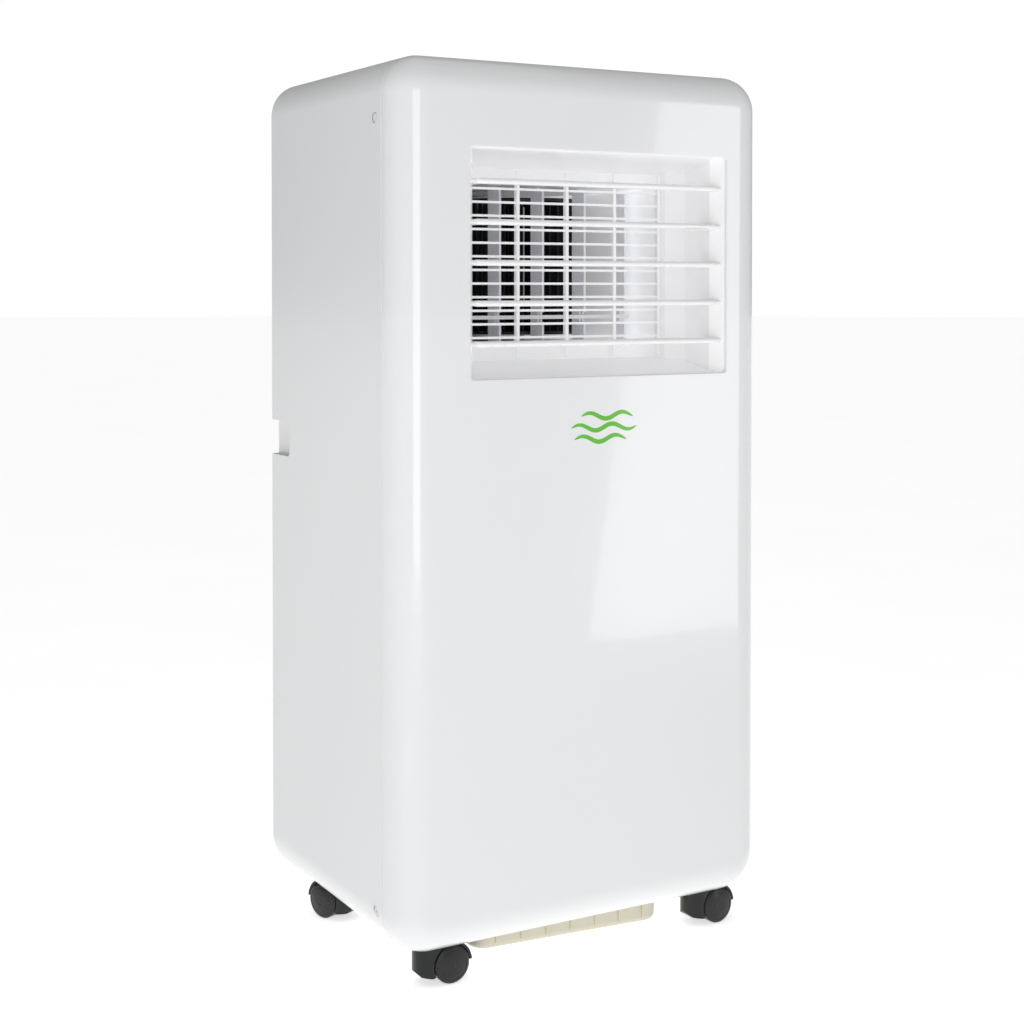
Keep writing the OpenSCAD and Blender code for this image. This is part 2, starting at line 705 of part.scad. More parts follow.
module evaporator() { color("silver") coil_block(coil_hw, 112, 131, 446, 640); }
module condenser() { color("silver") coil_block(coil_hw, 112, 131, 80, 232); }

// The compressor: a sealed can on a foot plate, with an accumulator at its side
module compressor() {
  color([0.12, 0.12, 0.13]) translate([comp[0], comp[1], floor_z]) {
    translate([-48, -48, 8]) cube([96, 96, 3]);
    for (x = [-40, 40], y = [-40, 40]) translate([x, y, 0]) cylinder(r = 7, h = 8);
    translate([0, 0, 11]) cylinder(r = 50, h = 120);
    translate([0, 0, 131]) intersection() {
      translate([0, 0, -45]) sphere(r = 67.3);
      cylinder(r = 50, h = 30);
    }
  }
  color([0.12, 0.12, 0.13]) accumulator();
}
module accumulator() {
  translate([comp[0] + 78, comp[1] - 18, floor_z + 8]) {
    cylinder(r = 20, h = 110);
    translate([0, 0, -8]) cylinder(r = 12, h = 8);
  }
}

// Copper lines: hot gas to the condenser, cold gas back from the evaporator,
// and between the coils the thin capillary with its filter drier
module discharge_pipe() {
  top = floor_z + 153.5;
  color([0.72, 0.45, 0.2]) pipe([[comp[0], comp[1], top], [comp[0], comp[1], top + 16],
                                 [-coil_end, comp[1], top + 16], [-coil_end, coil_y, top + 16],
                                 [-coil_hw - 7.2, coil_y, top + 16]], 3.5);
}
module suction_pipe() {
  top = floor_z + 118;
  x = comp[0] + 78;
  color([0.72, 0.45, 0.2]) pipe([[x, comp[1] - 18, top + 0.3], [x, comp[1] - 18, top + 22],
                                 [riser[0], comp[1] - 18, top + 22], [riser[0], riser[1], top + 22],
                                 [riser[0], riser[1], 458], [coil_end, riser[1], 458],
                                 [coil_end, coil_y, 458], [coil_hw + 7.2, coil_y, 458]], 4);
}
module capillary() {
  color([0.72, 0.45, 0.2]) {
    pipe([[coil_hw + 7.2, coil_y, 92], [coil_end + 3, coil_y, 92], [coil_end + 3, drier[1], 92],
          [drier[0], drier[1], 92], [drier[0], drier[1], 250]], 1.5);
    translate([drier[0], drier[1], 250]) cylinder(r = 7, h = 70);
    pipe([[drier[0], drier[1], 320], [drier[0], drier[1], 482], [coil_end + 3, drier[1], 482],
          [coil_end + 3, coil_y, 482], [coil_hw + 7.2, coil_y, 482]], 1.5);
  }
}

// ---------- electrics and panel ----------

// A box at the left of the duct, closed by a flat lid
module control_box() {
  color("lightgray") {
    difference() {
      block([-156, -70, 470], [-112, 50, 590]);
      block([-154, -68, 472], [-114, 48, 591]);
    }
    block([-156, -70, 590.1], [-112, 50, 592]);
  }
}
module power_board() {
  color("green") {
    block([-150, -62, 476], [-148.4, 42, 584]);
    for (z = [500, 540], y = [-40, 0]) block([-148.4, y, z], [-132, y + 24, z + 22]);
    for (z = [482, 484.4]) block([-154, -60, z], [-150, -58, z + 2]);
  }
}

// The panel let into the top, with a window and a hole for each button
module control_panel() {
  color("gainsboro") difference() {
    union() {
      block([-panel_hw + 0.3, panel_y0 + 0.3, panel_z - panel_t], [panel_hw - 0.3, panel_y1 - 0.3, panel_z]);
      for (x = [-panel_hw + 6, panel_hw - 9]) block([x, panel_y0 + 6, panel_z - 11], [x + 3, panel_y1 - 6, panel_z - panel_t]);
    }
    block([-16, -62, panel_z - panel_t - 1], [16, -46, panel_z + 1]);
    for (x = button_x) translate([x, button_y, panel_z - panel_t - 1]) cylinder(r = button_r + 0.3, h = panel_t + 2);
  }
}
module display_window() {
  color([0.1, 0.1, 0.12]) block([-15.8, -61.8, panel_z - panel_t], [15.8, -46.2, panel_z - 0.2]);
}
module button(i) {
  color("white") translate([button_x[i], button_y, panel_z]) {
    translate([0, 0, -6.5]) cylinder(r = button_r, h = 7);
    translate([0, 0, -6.5]) cylinder(r = button_r + 1.6, h = 2);
  }
}
module button_power() { button(0); }
module button_mode() { button(1); }
module button_speed() { button(2); }
module button_timer() { button(3); }
module button_down() { button(4); }
module button_up() { button(5); }

// The board under the panel, with a switch below each button
module control_board() {
  color("green") {
    block([-panel_hw + 6, panel_y0 + 6, panel_z - 12.8], [panel_hw - 6, panel_y1 - 6, panel_z - 11.2]);
    for (x = button_x) translate([x, button_y, panel_z - 11.2]) cylinder(r = 3, h = 3.6);
    block([-13, -60, panel_z - 11.2], [13, -48, panel_z - 5]);
  }
}

// ---------- rear fittings ----------

// A pull-off intake panel: dust net, slats outside it, and a finger tab at its upper edge
module intake(g) {
  translate([0, front_y - grille_t - 0.4, g[2]]) {
    slat_grille([g[0], g[1]], grille_t, 2, 8, 45);
    translate([-g[0] / 2 + 7, 0, -g[1] / 2 + 7]) cube([g[0] - 14, 0.5, g[1] - 14]);
    translate([-14, grille_t - 2, g[1] / 2 - 5.5]) cube([28, 2.3, 3]);
  }
}
module upper_intake_grille() { color("white") intake(upper_grille); }
module lower_intake_grille() { color("white") intake(lower_grille); }

// The round socket that takes the exhaust hose
module exhaust_collar() {
  color("white") translate([port_x, 0, port_z]) difference() {
    rod_y(lower_duct_y + 0.3, front_y - 0.4, port_r + wall);
    rod_y(lower_duct_y - 1, front_y + 1, port_r);
  }
}
module cable_gland() {
  color([0.1, 0.1, 0.1]) translate([gland[0], 0, gland[1]]) difference() {
    union() {
      rod_y(front_y - 6, front_y - 0.1, 6.9);
      rod_y(front_y - 6, front_y - wall - 0.3, 9);
    }
    rod_y(front_y - 9, front_y + 3, 3.2);
  }
}
module drain_plug() {
  color([0.1, 0.1, 0.1]) translate([pan_x, 0, drain_z]) {
    rod_y(front_y - 12, front_y - 0.9, 4.95);
    rod_y(front_y - 0.9, front_y, 7);
  }
}

// ---------- casters ----------

// Puts a caster on its swivel axis, turned the way it trails
module caster_frame(i) {
  translate([caster_at[i][0], caster_at[i][1], 0]) rotate([0, 0, caster_turn[i]]) children();
}

// Side view of the hood about the axle: a fender over the wheels and a nose round the stem
module hood_side() {
  nose = caster_trail + hood_hw;
  difference() {
    union() {
      circle(hood_r);
      polygon([[0, hood_r], [-nose, hood_r - 2], [-nose, -4], [3 - nose, -7], [-wheel_r, -8.5], [0, 0]]);
    }
    circle(wheel_r + 0.6);
    polygon([[0, 0], [30, 2], [30, -30], [-wheel_r, -30], [-wheel_r - 0.5, -8.4]]);
  }
}

// The caster's body: the hood, a web between the wheels and the stem
module caster_hood(i) {
  color([0.06, 0.06, 0.06]) caster_frame(i) {
    intersection() {
      translate([caster_trail, 0, wheel_r]) rotate([90, 0, 0]) translate([0, 0, -hood_hw])
        linear_extrude(2 * hood_hw) hood_side();
      union() {
        cylinder(r = hood_hw, h = hood_top);
        block([0, -hood_hw, 0], [caster_trail + hood_r + 1, hood_hw, hood_top]);
      }
    }
    difference() {
      translate([caster_trail, 0, wheel_r]) rotate([90, 0, 0]) {
        translate([0, 0, -web_w / 2]) linear_extrude(web_w) difference() {
          circle(wheel_r + 1);
          translate([-20, -30]) square([40, 24]);
        }
      }
      translate([caster_trail, 0, wheel_r]) rotate([90, 0, 0]) cylinder(r = axle_r + 0.05, h = 40, center = true);
    }
    translate([0, 0, wheel_r + hood_r - 3]) cylinder(r = stem_r, h = body_bottom + 24 - wheel_r - hood_r + 3);
  }
}

// Two wheels on one axle
module caster_wheels(i) {
  color([0.06, 0.06, 0.06]) caster_frame(i) translate([caster_trail, 0, wheel_r]) rotate([90, 0, 0]) {
    for (side = [0, 1]) mirror([0, 0, side]) translate([0, 0, web_w / 2 + 0.4]) rotate_extrude()
      polygon([[0, 0], [wheel_r - 1, 0], [wheel_r, 1], [wheel_r, wheel_w - 1.8], [wheel_r - 0.6, wheel_w - 0.6],
               [wheel_r - 1.8, wheel_w], [9, wheel_w + 0.7], [5, wheel_w + 1.1], [0, wheel_w + 1.3]]);
    cylinder(r = axle_r, h = web_w + 2, center = true);
  }
}
module caster_fl() { caster_hood(0); }
module caster_fr() { caster_hood(1); }
module caster_rl() { caster_hood(2); }
module caster_rr() { caster_hood(3); }
module wheels_fl() { caster_wheels(0); }
module wheels_fr() { caster_wheels(1); }
module wheels_rl() { caster_wheels(2); }
module wheels_rr() { caster_wheels(3); }

// ---------- fasteners ----------

// A pan-head screw along +X, with its seat at the origin and a cross recess
module screw(len) {
  difference() {
    union() {
      rod_x(0, 1, 3.6);
      rod_x(-len, 0.1, screw_r);
    }
    block([0.4, -2, -0.4], [2, 2, 0.4]);
    block([0.4, -0.4, -2], [2, 0.4, 2]);
  }
}
module screws() {
  color("white") for (z = side_screw_z, side = [0, 1]) mirror([side, 0, 0])
    translate([half_w - 1.15 - wall_in(z), side_screw_y, z]) screw(6.5);
  color("silver") for (z = rear_screw_z, side = [0, 1]) mirror([side, 0, 0])
    translate([rear_hw + 9, casing_rear, z]) rotate([0, 0, 90]) screw(9);
}

front_shell();
side_casing();
rear_cover();
grip_left();
grip_right();
base_pan();
outlet_frame();
outlet_grid();
louvre_1();
louvre_2();
louvre_3();
louvre_4();
louvre_5();
louvre_link();
vane_1();
vane_2();
vane_3();
vane_4();
vane_5();
vane_link();
upper_scroll();
upper_scroll_lid();
upper_wheel();
fan_shaft();
fan_motor();
lower_wheel();
lower_scroll();
lower_inlet_plate();
mid_deck();
evaporator();
condenser();
compressor();
discharge_pipe();
suction_pipe();
capillary();
control_box();
power_board();
control_panel();
display_window();
control_board();
button_power();
button_mode();
button_speed();
button_timer();
button_down();
button_up();
upper_intake_grille();
lower_intake_grille();
exhaust_collar();
cable_gland();
drain_plug();
caster_fl();
caster_fr();
caster_rl();
caster_rr();
wheels_fl();
wheels_fr();
wheels_rl();
wheels_rr();
screws();
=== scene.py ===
import json
import math

import bmesh
import bpy
from mathutils import Matrix, Vector


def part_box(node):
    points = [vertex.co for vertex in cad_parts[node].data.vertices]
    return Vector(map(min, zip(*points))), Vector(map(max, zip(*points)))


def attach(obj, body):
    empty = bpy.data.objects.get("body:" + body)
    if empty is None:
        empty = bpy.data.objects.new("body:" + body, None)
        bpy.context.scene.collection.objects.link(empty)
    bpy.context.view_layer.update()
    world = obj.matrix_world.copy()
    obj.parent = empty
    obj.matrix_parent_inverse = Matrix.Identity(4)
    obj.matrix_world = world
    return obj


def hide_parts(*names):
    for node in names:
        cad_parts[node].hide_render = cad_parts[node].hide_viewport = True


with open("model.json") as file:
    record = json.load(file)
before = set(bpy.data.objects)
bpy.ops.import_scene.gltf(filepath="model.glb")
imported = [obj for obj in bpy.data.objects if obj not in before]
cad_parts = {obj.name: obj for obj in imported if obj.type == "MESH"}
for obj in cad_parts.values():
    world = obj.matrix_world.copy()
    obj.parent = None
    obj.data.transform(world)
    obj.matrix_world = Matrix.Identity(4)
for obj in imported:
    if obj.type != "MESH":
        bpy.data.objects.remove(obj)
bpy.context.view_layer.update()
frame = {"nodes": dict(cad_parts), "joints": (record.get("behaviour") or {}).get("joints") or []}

MM = 0.001
scene = bpy.context.scene


def box_mm(node):
    """The low and the high corner of a node's box, in millimetres."""
    return [[c / MM for c in corner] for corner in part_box(node)]


# The cabinet's measures, in millimetres, read from the frame
SHELL = box_mm("front_shell")
CASING = box_mm("side_casing")
FRAME_BOX = box_mm("outlet_frame")
HALF_W = SHELL[1][0]
FRONT_Y = SHELL[0][1]
BOTTOM_Z, TOP_Z = CASING[0][2], CASING[1][2]
CASING_Y0, CASING_Y1 = CASING[0][1], CASING[1][1]
TOP_R, BOTTOM_R, EDGE_R, WALL = 27.5, 33.0, 26.0, 2.5
FRAME_RIM = 3            # how far the outlet frame reaches behind the front shell, round the opening
SEAM_Y = FRONT_Y + EDGE_R
OUTLET_X = (FRAME_BOX[0][0] + FRAME_BOX[1][0]) / 2
OUTLET_Z = (FRAME_BOX[0][2] + FRAME_BOX[1][2]) / 2
OUTLET_HW = (FRAME_BOX[1][0] - FRAME_BOX[0][0]) / 2 - FRAME_RIM
OUTLET_HH = (FRAME_BOX[1][2] - FRAME_BOX[0][2]) / 2 - FRAME_RIM


# ---------------------------------------------------------------- materials

def srgb(r, g, b):
    """A colour given as 0 to 255, as the linear colour that a shader takes."""
    out = []
    for c in (r, g, b):
        c /= 255
        out.append(c / 12.92 if c <= 0.04045 else ((c + 0.055) / 1.055) ** 2.4)
    return (*out, 1.0)


class Nodes:
    """Short calls for building one material's nodes."""

    def __init__(self, name):
        self.mat = bpy.data.materials.new(name)
        self.mat.use_nodes = True
        self.tree = self.mat.node_tree
        self.bsdf = next(n for n in self.tree.nodes if n.type == "BSDF_PRINCIPLED")
        self.coords = self.add("ShaderNodeTexCoord").outputs["Object"]

    def add(self, kind, **sockets):
        node = self.tree.nodes.new(kind)
        for key, value in sockets.items():
            node.inputs[key.replace("_", " ")].default_value = value
        return node

    def link(self, a, b):
        self.tree.links.new(a, b)

    def noise(self, scale, detail=3.0, stretch=None):
        node = self.add("ShaderNodeTexNoise", Scale=scale, Detail=detail)
        source = self.coords
        if stretch:
            mapping = self.add("ShaderNodeMapping")
            mapping.inputs["Scale"].default_value = stretch
            self.link(source, mapping.inputs["Vector"])
            source = mapping.outputs["Vector"]
        self.link(source, node.inputs["Vector"])
        return node.outputs["Fac"]

    def ramp(self, fac, low, high, start=0.35, end=0.65):
        node = self.add("ShaderNodeValToRGB")
        node.color_ramp.elements[0].position = start
        node.color_ramp.elements[1].position = end
        node.color_ramp.elements[0].color = low
        node.color_ramp.elements[1].color = high
        self.link(fac, node.inputs["Fac"])
        return node.outputs["Color"]

    def spread(self, fac, low, high, start=0.3, end=0.7):
        node = self.add("ShaderNodeMapRange")
        for key, value in zip(("From Min", "From Max", "To Min", "To Max"), (start, end, low, high)):
            node.inputs[key].default_value = value
        self.link(fac, node.inputs["Value"])
        return node.outputs["Result"]

    def math(self, op, a, b):
        node = self.add("ShaderNodeMath")
        node.operation = op
        for socket, value in zip(node.inputs, (a, b)):
            if isinstance(value, (int, float)):
                socket.default_value = value
            else:
                self.link(value, socket)
        return node.outputs["Value"]

    def bump(self, heights, strength=1.0):
        """heights is a list of (height output, depth in mm)."""
        total = None
        for height, depth in heights:
            term = self.math("MULTIPLY", height, depth * MM)
            total = term if total is None else self.math("ADD", total, term)
        node = self.add("ShaderNodeBump", Strength=strength, Distance=1.0)
        self.link(total, node.inputs["Height"])
        self.link(node.outputs["Normal"], self.bsdf.inputs["Normal"])
        return node

    def set(self, **values):
        for key, value in values.items():
            self.bsdf.inputs[key.replace("_", " ")].default_value = value


def tone(colour, gain):
    return (*(min(1.0, c * gain) for c in colour[:3]), 1.0)


def plastic(name, colour, rough=0.3, rough_spread=0.06, grain=0.004, grain_scale=2600,
            wave=0.0, mottle=0.03, coat=0.0, coat_rough=0.05, ior=1.48, sss=0.0, painted_glow=None):
    """Moulded plastic: faint mottling, a fine grain, flow waves from the mould, and uneven gloss.

    Its last argument is painted light: an emission that stands in for the light falling into the outlet,
    given as its strength at the left and at the right side, and the two X positions in millimetres between
    which it changes."""
    n = Nodes(name)
    clouds = n.noise(9, 4)
    specks = n.noise(420, 2)
    low = tone(colour, 1 - mottle)
    mottling = n.math("ADD", n.math("MULTIPLY", clouds, 0.75), n.math("MULTIPLY", specks, 0.25))
    n.link(n.ramp(mottling, low, colour), n.bsdf.inputs["Base Color"])
    n.link(n.spread(n.noise(38, 5), rough - rough_spread, rough + rough_spread), n.bsdf.inputs["Roughness"])
    heights = [(n.noise(grain_scale, 2), grain)]
    if wave:
        heights.append((n.noise(16, 1, (1.0, 1.0, 0.45)), wave))
    n.bump(heights)
    n.set(Coat_Weight=coat, Coat_Roughness=coat_rough, IOR=ior)
    if sss:
        n.set(Subsurface_Weight=sss, Subsurface_Scale=0.002)
    # Painted light: an emission that brightens the wall from within, in place of light falling into the
    # outlet, changing from left to right across X.
    if painted_glow:
        left, right, x0, x1 = painted_glow
        axes = n.add("ShaderNodeSeparateXYZ")
        n.link(n.coords, axes.inputs["Vector"])
        n.link(n.spread(axes.outputs["X"], left, right, x0 * MM, x1 * MM), n.bsdf.inputs["Emission Strength"])
        n.bsdf.inputs["Emission Color"].default_value = colour
    return n.mat


def metal(name, colour, rough=0.35, brushed=None, mottle=0.12):
    """Bare metal: brushed or rolled streaks and a faint tarnish."""
    n = Nodes(name)
    n.link(n.ramp(n.noise(60, 5), tone(colour, 1 - mottle), colour), n.bsdf.inputs["Base Color"])
    streaks = n.noise(700, 3, brushed or (1.0, 1.0, 1.0))
    n.link(n.spread(streaks, rough - 0.1, rough + 0.1), n.bsdf.inputs["Roughness"])
    n.bump([(streaks, 0.004)])
    n.set(Metallic=1.0)
    return n.mat


def fins(name):
    """Aluminium fins that stand side by side across X, a little bent here and there; the dark bands between
    them are painted shade for the gaps.
    """
    n = Nodes(name)
    wave = n.add("ShaderNodeTexWave", Scale=1.0, Distortion=0.0)
    wave.bands_direction = "X"
    mapping = n.add("ShaderNodeMapping")
    mapping.inputs["Scale"].default_value = (190.0, 0.0, 0.0)
    n.link(n.coords, mapping.inputs["Vector"])
    shifted = n.add("ShaderNodeVectorMath")
    shifted.operation = "ADD"
    bent = n.math("MULTIPLY", n.noise(70, 2), 0.8)
    n.link(mapping.outputs["Vector"], shifted.inputs[0])
    n.link(bent, shifted.inputs[1])
    n.link(shifted.outputs["Vector"], wave.inputs["Vector"])
    # The dark colour is painted shade, standing for the gaps between the fins.
    dark, bright = srgb(60, 62, 66), srgb(205, 208, 212)
    n.link(n.ramp(wave.outputs["Fac"], dark, bright, 0.1, 0.7), n.bsdf.inputs["Base Color"])
    n.link(n.spread(n.noise(120, 3), 0.28, 0.5), n.bsdf.inputs["Roughness"])
    n.bump([(wave.outputs["Fac"], 0.8)], 0.7)
    n.set(Metallic=0.85)
    return n.mat


def board(name):
    """Circuit board: green lacquer with traces and pads."""
    n = Nodes(name)
    traces = n.add("ShaderNodeTexBrick", Scale=95.0)
    traces.inputs["Mortar Size"].default_value = 0.012
    traces.inputs["Color1"].default_value = srgb(20, 92, 48)
    traces.inputs["Color2"].default_value = srgb(16, 80, 40)
    traces.inputs["Mortar"].default_value = srgb(64, 140, 74)
    n.link(n.coords, traces.inputs["Vector"])
    n.link(traces.outputs["Color"], n.bsdf.inputs["Base Color"])
    n.link(n.spread(n.noise(200, 2), 0.3, 0.5), n.bsdf.inputs["Roughness"])
    n.bump([(traces.outputs["Fac"], 0.05)])
    return n.mat


def net(name):
    """The dust net: a fine woven mesh of grey threads; its gaps are painted dark as the shade seen through
    the mesh.
    """
    n = Nodes(name)
    mapping = n.add("ShaderNodeMapping")
    mapping.inputs["Rotation"].default_value = (math.radians(90), 0, 0)
    n.link(n.coords, mapping.inputs["Vector"])
    weave = n.add("ShaderNodeTexBrick", Scale=620.0)
    weave.offset = 0.0
    weave.inputs["Mortar Size"].default_value = 0.16
    weave.inputs["Brick Width"].default_value = 1.0
    weave.inputs["Row Height"].default_value = 1.0
    # The dark brick colours of the gaps are painted shade for what lies behind the mesh.
    weave.inputs["Color1"].default_value = srgb(34, 36, 38)
    weave.inputs["Color2"].default_value = srgb(44, 46, 48)
    weave.inputs["Mortar"].default_value = srgb(126, 130, 134)
    n.link(mapping.outputs["Vector"], weave.inputs["Vector"])
    n.link(weave.outputs["Color"], n.bsdf.inputs["Base Color"])
    n.link(n.spread(n.noise(90, 3), 0.5, 0.75), n.bsdf.inputs["Roughness"])
    n.bump([(weave.outputs["Fac"], 0.25)])
    return n.mat


M = {
    "front": plastic("gloss_white_front", srgb(240, 241, 242), rough=0.16, rough_spread=0.03, grain=0.0006,
                     grain_scale=2200, wave=0.012, mottle=0.012, coat=0.6, coat_rough=0.03),
    "casing": plastic("gloss_white_casing", srgb(239, 240, 241), rough=0.27, rough_spread=0.003,
                      grain=0.0002, grain_scale=2400, mottle=0.008, coat=0.25, coat_rough=0.12),
    "rear": plastic("satin_white_rear", srgb(234, 235, 236), rough=0.4, grain=0.006, grain_scale=2400,
                    wave=0.006, mottle=0.02),
    "trim": plastic("satin_white_trim", srgb(250, 250, 251), rough=0.24, rough_spread=0.04, grain=0.0008,
                    grain_scale=2400, mottle=0.012, coat=0.3, coat_rough=0.1, sss=0.05),
    "louvre": plastic("white_louvre", srgb(250, 250, 251), rough=0.26, rough_spread=0.04, grain=0.0008,
                      grain_scale=2400, mottle=0.02, coat=0.1, coat_rough=0.1, sss=0.05),
    # The recess, vane and duct materials carry painted light: an emission that brightens the inside of the
    # outlet, stronger towards its right.
    "recess": plastic("satin_white_recess", srgb(250, 250, 251), rough=0.24, rough_spread=0.01,
                      grain=0.0008, grain_scale=2400, mottle=0.012, coat=0.3, coat_rough=0.1, sss=0.05,
                      painted_glow=(0.10, 0.09, -60, 90)),
    "vane": plastic("white_vane", srgb(236, 237, 241), rough=0.36, rough_spread=0.05, grain_scale=2000,
                    sss=0.05, painted_glow=(0.02, 0.16, 0, 90)),
    "duct": plastic("foam_white_duct", srgb(246, 246, 247), rough=0.4, rough_spread=0.08, grain=0.02,
                    grain_scale=420, coat=0.2, coat_rough=0.2, painted_glow=(0.0, 0.30, 30, 96)),
    "blower": plastic("black_blower", srgb(27, 29, 33), rough=0.4, rough_spread=0.08, grain=0.006,
                      grain_scale=1600, mottle=0.2),
    "tray": plastic("beige_tray", srgb(216, 211, 192), rough=0.42, grain=0.006, grain_scale=1800,
                    mottle=0.04, sss=0.1),
    "black": plastic("black_nylon", srgb(18, 20, 20), rough=0.22, grain_scale=1500, wave=0.008, mottle=0.18,
                     coat=0.08, coat_rough=0.15, ior=1.42),
    "tread": plastic("black_tread", srgb(18, 20, 20), rough_spread=0.1, grain=0.02, grain_scale=1500,
                     mottle=0.25),
    "rubber": plastic("black_rubber", srgb(26, 26, 27), rough=0.62, rough_spread=0.08, grain=0.02,
                      grain_scale=1200, mottle=0.2),
    "panel": plastic("grey_panel_film", srgb(214, 217, 221), rough=0.22, rough_spread=0.04, grain=0.001,
                     grain_scale=2400, mottle=0.02, coat=0.5),
    "glyph": plastic("grey_print", srgb(96, 100, 106), rough=0.45, rough_spread=0.05, grain=0.002,
                     grain_scale=2400, mottle=0.06),
    "button": plastic("white_keycap", srgb(242, 243, 244), rough=0.25, rough_spread=0.04, grain=0.001,
                      grain_scale=2200, mottle=0.02, coat=0.3, coat_rough=0.06),
    "window": plastic("smoked_window", srgb(16, 17, 19), rough=0.08, rough_spread=0.02, grain=0.0005,
                      grain_scale=2200, mottle=0.1, coat=0.8, coat_rough=0.02),
    "segment": plastic("unlit_segment", srgb(58, 60, 62), rough_spread=0.04, grain=0.001, grain_scale=2200,
                       mottle=0.05),
    "emblem": plastic("green_print", srgb(88, 190, 0), rough=0.28, rough_spread=0.04, grain=0.001,
                      grain_scale=2400, mottle=0.05, coat=0.4),
    "screw": plastic("white_coated_screw", srgb(232, 233, 235), rough=0.32, grain_scale=2200, coat=0.2,
                     coat_rough=0.1),
    "enamel": plastic("black_enamel", srgb(24, 25, 27), rough=0.24, rough_spread=0.07, grain=0.01,
                      grain_scale=500, wave=0.02, mottle=0.2, coat=0.3, coat_rough=0.1),
    "steel": metal("turned_steel", srgb(186, 188, 190), 0.3, (1.0, 1.0, 14.0)),
    "zinc": metal("zinc_plate", srgb(178, 181, 184), 0.42, (5.0, 1.0, 1.0), 0.2),
    "copper": metal("copper_tube", srgb(198, 128, 88), 0.32, (1.0, 1.0, 3.0), 0.3),
    "fins": fins("aluminium_fins"),
    "board": board("circuit_board"),
    "net": net("dust_net"),
}


# ---------------------------------------------------------------- mesh helpers

def finish_piece(bm, name, mats, body, nodes=(), sharp=38):
    """Turns a bmesh in millimetres into a piece that rides on its body."""
    bmesh.ops.recalc_face_normals(bm, faces=bm.faces)
    mesh = bpy.data.meshes.new(name)
    bmesh.ops.scale(bm, vec=(MM,) * 3, verts=bm.verts)
    limit = math.radians(sharp)
    for face in bm.faces:
        face.smooth = True
    for edge in bm.edges:
        edge.smooth = not (len(edge.link_faces) == 2 and edge.calc_face_angle(0) > limit)
    bm.to_mesh(mesh)
    bm.free()
    for mat in mats if isinstance(mats, (list, tuple)) else [mats]:
        mesh.materials.append(mat)
    piece = bpy.data.objects.new(name, mesh)
    scene.collection.objects.link(piece)
    piece.modifiers.new("normals", "WEIGHTED_NORMAL").keep_sharp = True
    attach(piece, body)
    if nodes:
        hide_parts(*nodes)
    return piece


def loft(bm, rings, closed=False, caps=(False, False), mat=0):
    """Quads between rings of the same number of points."""
    rows = [[bm.verts.new(p) for p in ring] for ring in rings]
    pairs = list(zip(rows, rows[1:] + rows[:1])) if closed else list(zip(rows, rows[1:]))
    for a, b in pairs:
        n = len(a)
        for i in range(n):
            j = (i + 1) % n
            face = bm.faces.new((a[i], a[j], b[j], b[i]))
            face.material_index = mat
    for row, cap in zip((rows[0], rows[-1]), caps):
        if cap:
            bm.faces.new(row).material_index = mat
    return rows


def outline(hw, z0, z1, r0, r1, steps=14, x=0.0):
    """Rounded rectangle in XZ: lower corners r0, upper corners r1. Lists of (x, z)."""
    points = []
    for cx, cz, r, start in ((hw - r1, z1 - r1, r1, 0), (-hw + r1, z1 - r1, r1, 90),
                             (-hw + r0, z0 + r0, r0, 180), (hw - r0, z0 + r0, r0, 270)):
        for i in range(steps + 1):
            a = math.radians(start + 90 * i / steps)
            points.append((x + cx + r * math.cos(a), cz + r * math.sin(a)))
    return points


def lathe(bm, profile, axis="Y", at=(0, 0, 0), steps=48, closed=False):
    """Turns (radius, distance along the axis) about an axis through a point."""
    rings = []
    for r, d in profile:
        ring = []
        for i in range(steps):
            a = 2 * math.pi * i / steps
            u, v = max(r, 0.001) * math.cos(a), max(r, 0.001) * math.sin(a)
            p = {"X": (d, u, v), "Y": (u, d, v), "Z": (u, v, d)}[axis]
            ring.append(tuple(p[k] + at[k] for k in range(3)))
        rings.append(ring)
    return loft(bm, rings, closed=closed, caps=(False, False) if closed else (True, True))


def soft_block(bm, lo, hi, r=0.4, mat=0, segments=2):
    """A box with rounded edges."""
    size = [hi[k] - lo[k] for k in range(3)]
    made = bmesh.ops.create_cube(bm, size=1.0)
    verts = made["verts"]
    for v in verts:
        v.co = Vector([lo[k] + (v.co[k] + 0.5) * size[k] for k in range(3)])
    edges = list({e for v in verts for e in v.link_edges})
    for face in {f for v in verts for f in v.link_faces}:
        face.material_index = mat
    if r:
        bmesh.ops.bevel(bm, geom=edges, offset=min(r, min(size) * 0.45), segments=segments, profile=0.5,
                        affect="EDGES", clamp_overlap=True, material=mat)


FLAT_ANGLE = 0.6         # faces of the CAD mesh that meet at less than this, in degrees, are merged


def from_node(node, bevel=0.4, segments=2, angle=40):
    """The CAD node's surface in millimetres, with its flat faces merged and its edges rounded."""
    bm = bmesh.new()
    bm.from_mesh(frame["nodes"][node].data)
    bmesh.ops.scale(bm, vec=(1 / MM,) * 3, verts=bm.verts)
    bmesh.ops.remove_doubles(bm, verts=bm.verts, dist=0.002)
    bmesh.ops.dissolve_limit(bm, angle_limit=math.radians(FLAT_ANGLE), verts=bm.verts, edges=bm.edges)
    for face in bm.faces:
        face.material_index = 0
    if bevel:
        limit = math.radians(angle)
        edges = [e for e in bm.edges if len(e.link_faces) == 2 and e.calc_face_angle(0) > limit]
        bmesh.ops.bevel(bm, geom=edges, offset=bevel, segments=segments, profile=0.5, affect="EDGES",
                        clamp_overlap=True)
    return bm


def soften(node, mat, body, bevel=0.4, segments=2, angle=40):
    """Makes a CAD node's own shape, with rounded edges, the visible piece."""
    bm = from_node(node, bevel, segments, angle)
    return finish_piece(bm, node + "_moulded", mat, body, (node,))


def dress(nodes, mat):
    """Gives a CAD node that stays in view its material."""
    for node in nodes:
        data = frame["nodes"][node].data
        if not data.materials:
            data.materials.append(mat)
        for i in range(len(data.materials)):
            data.materials[i] = mat


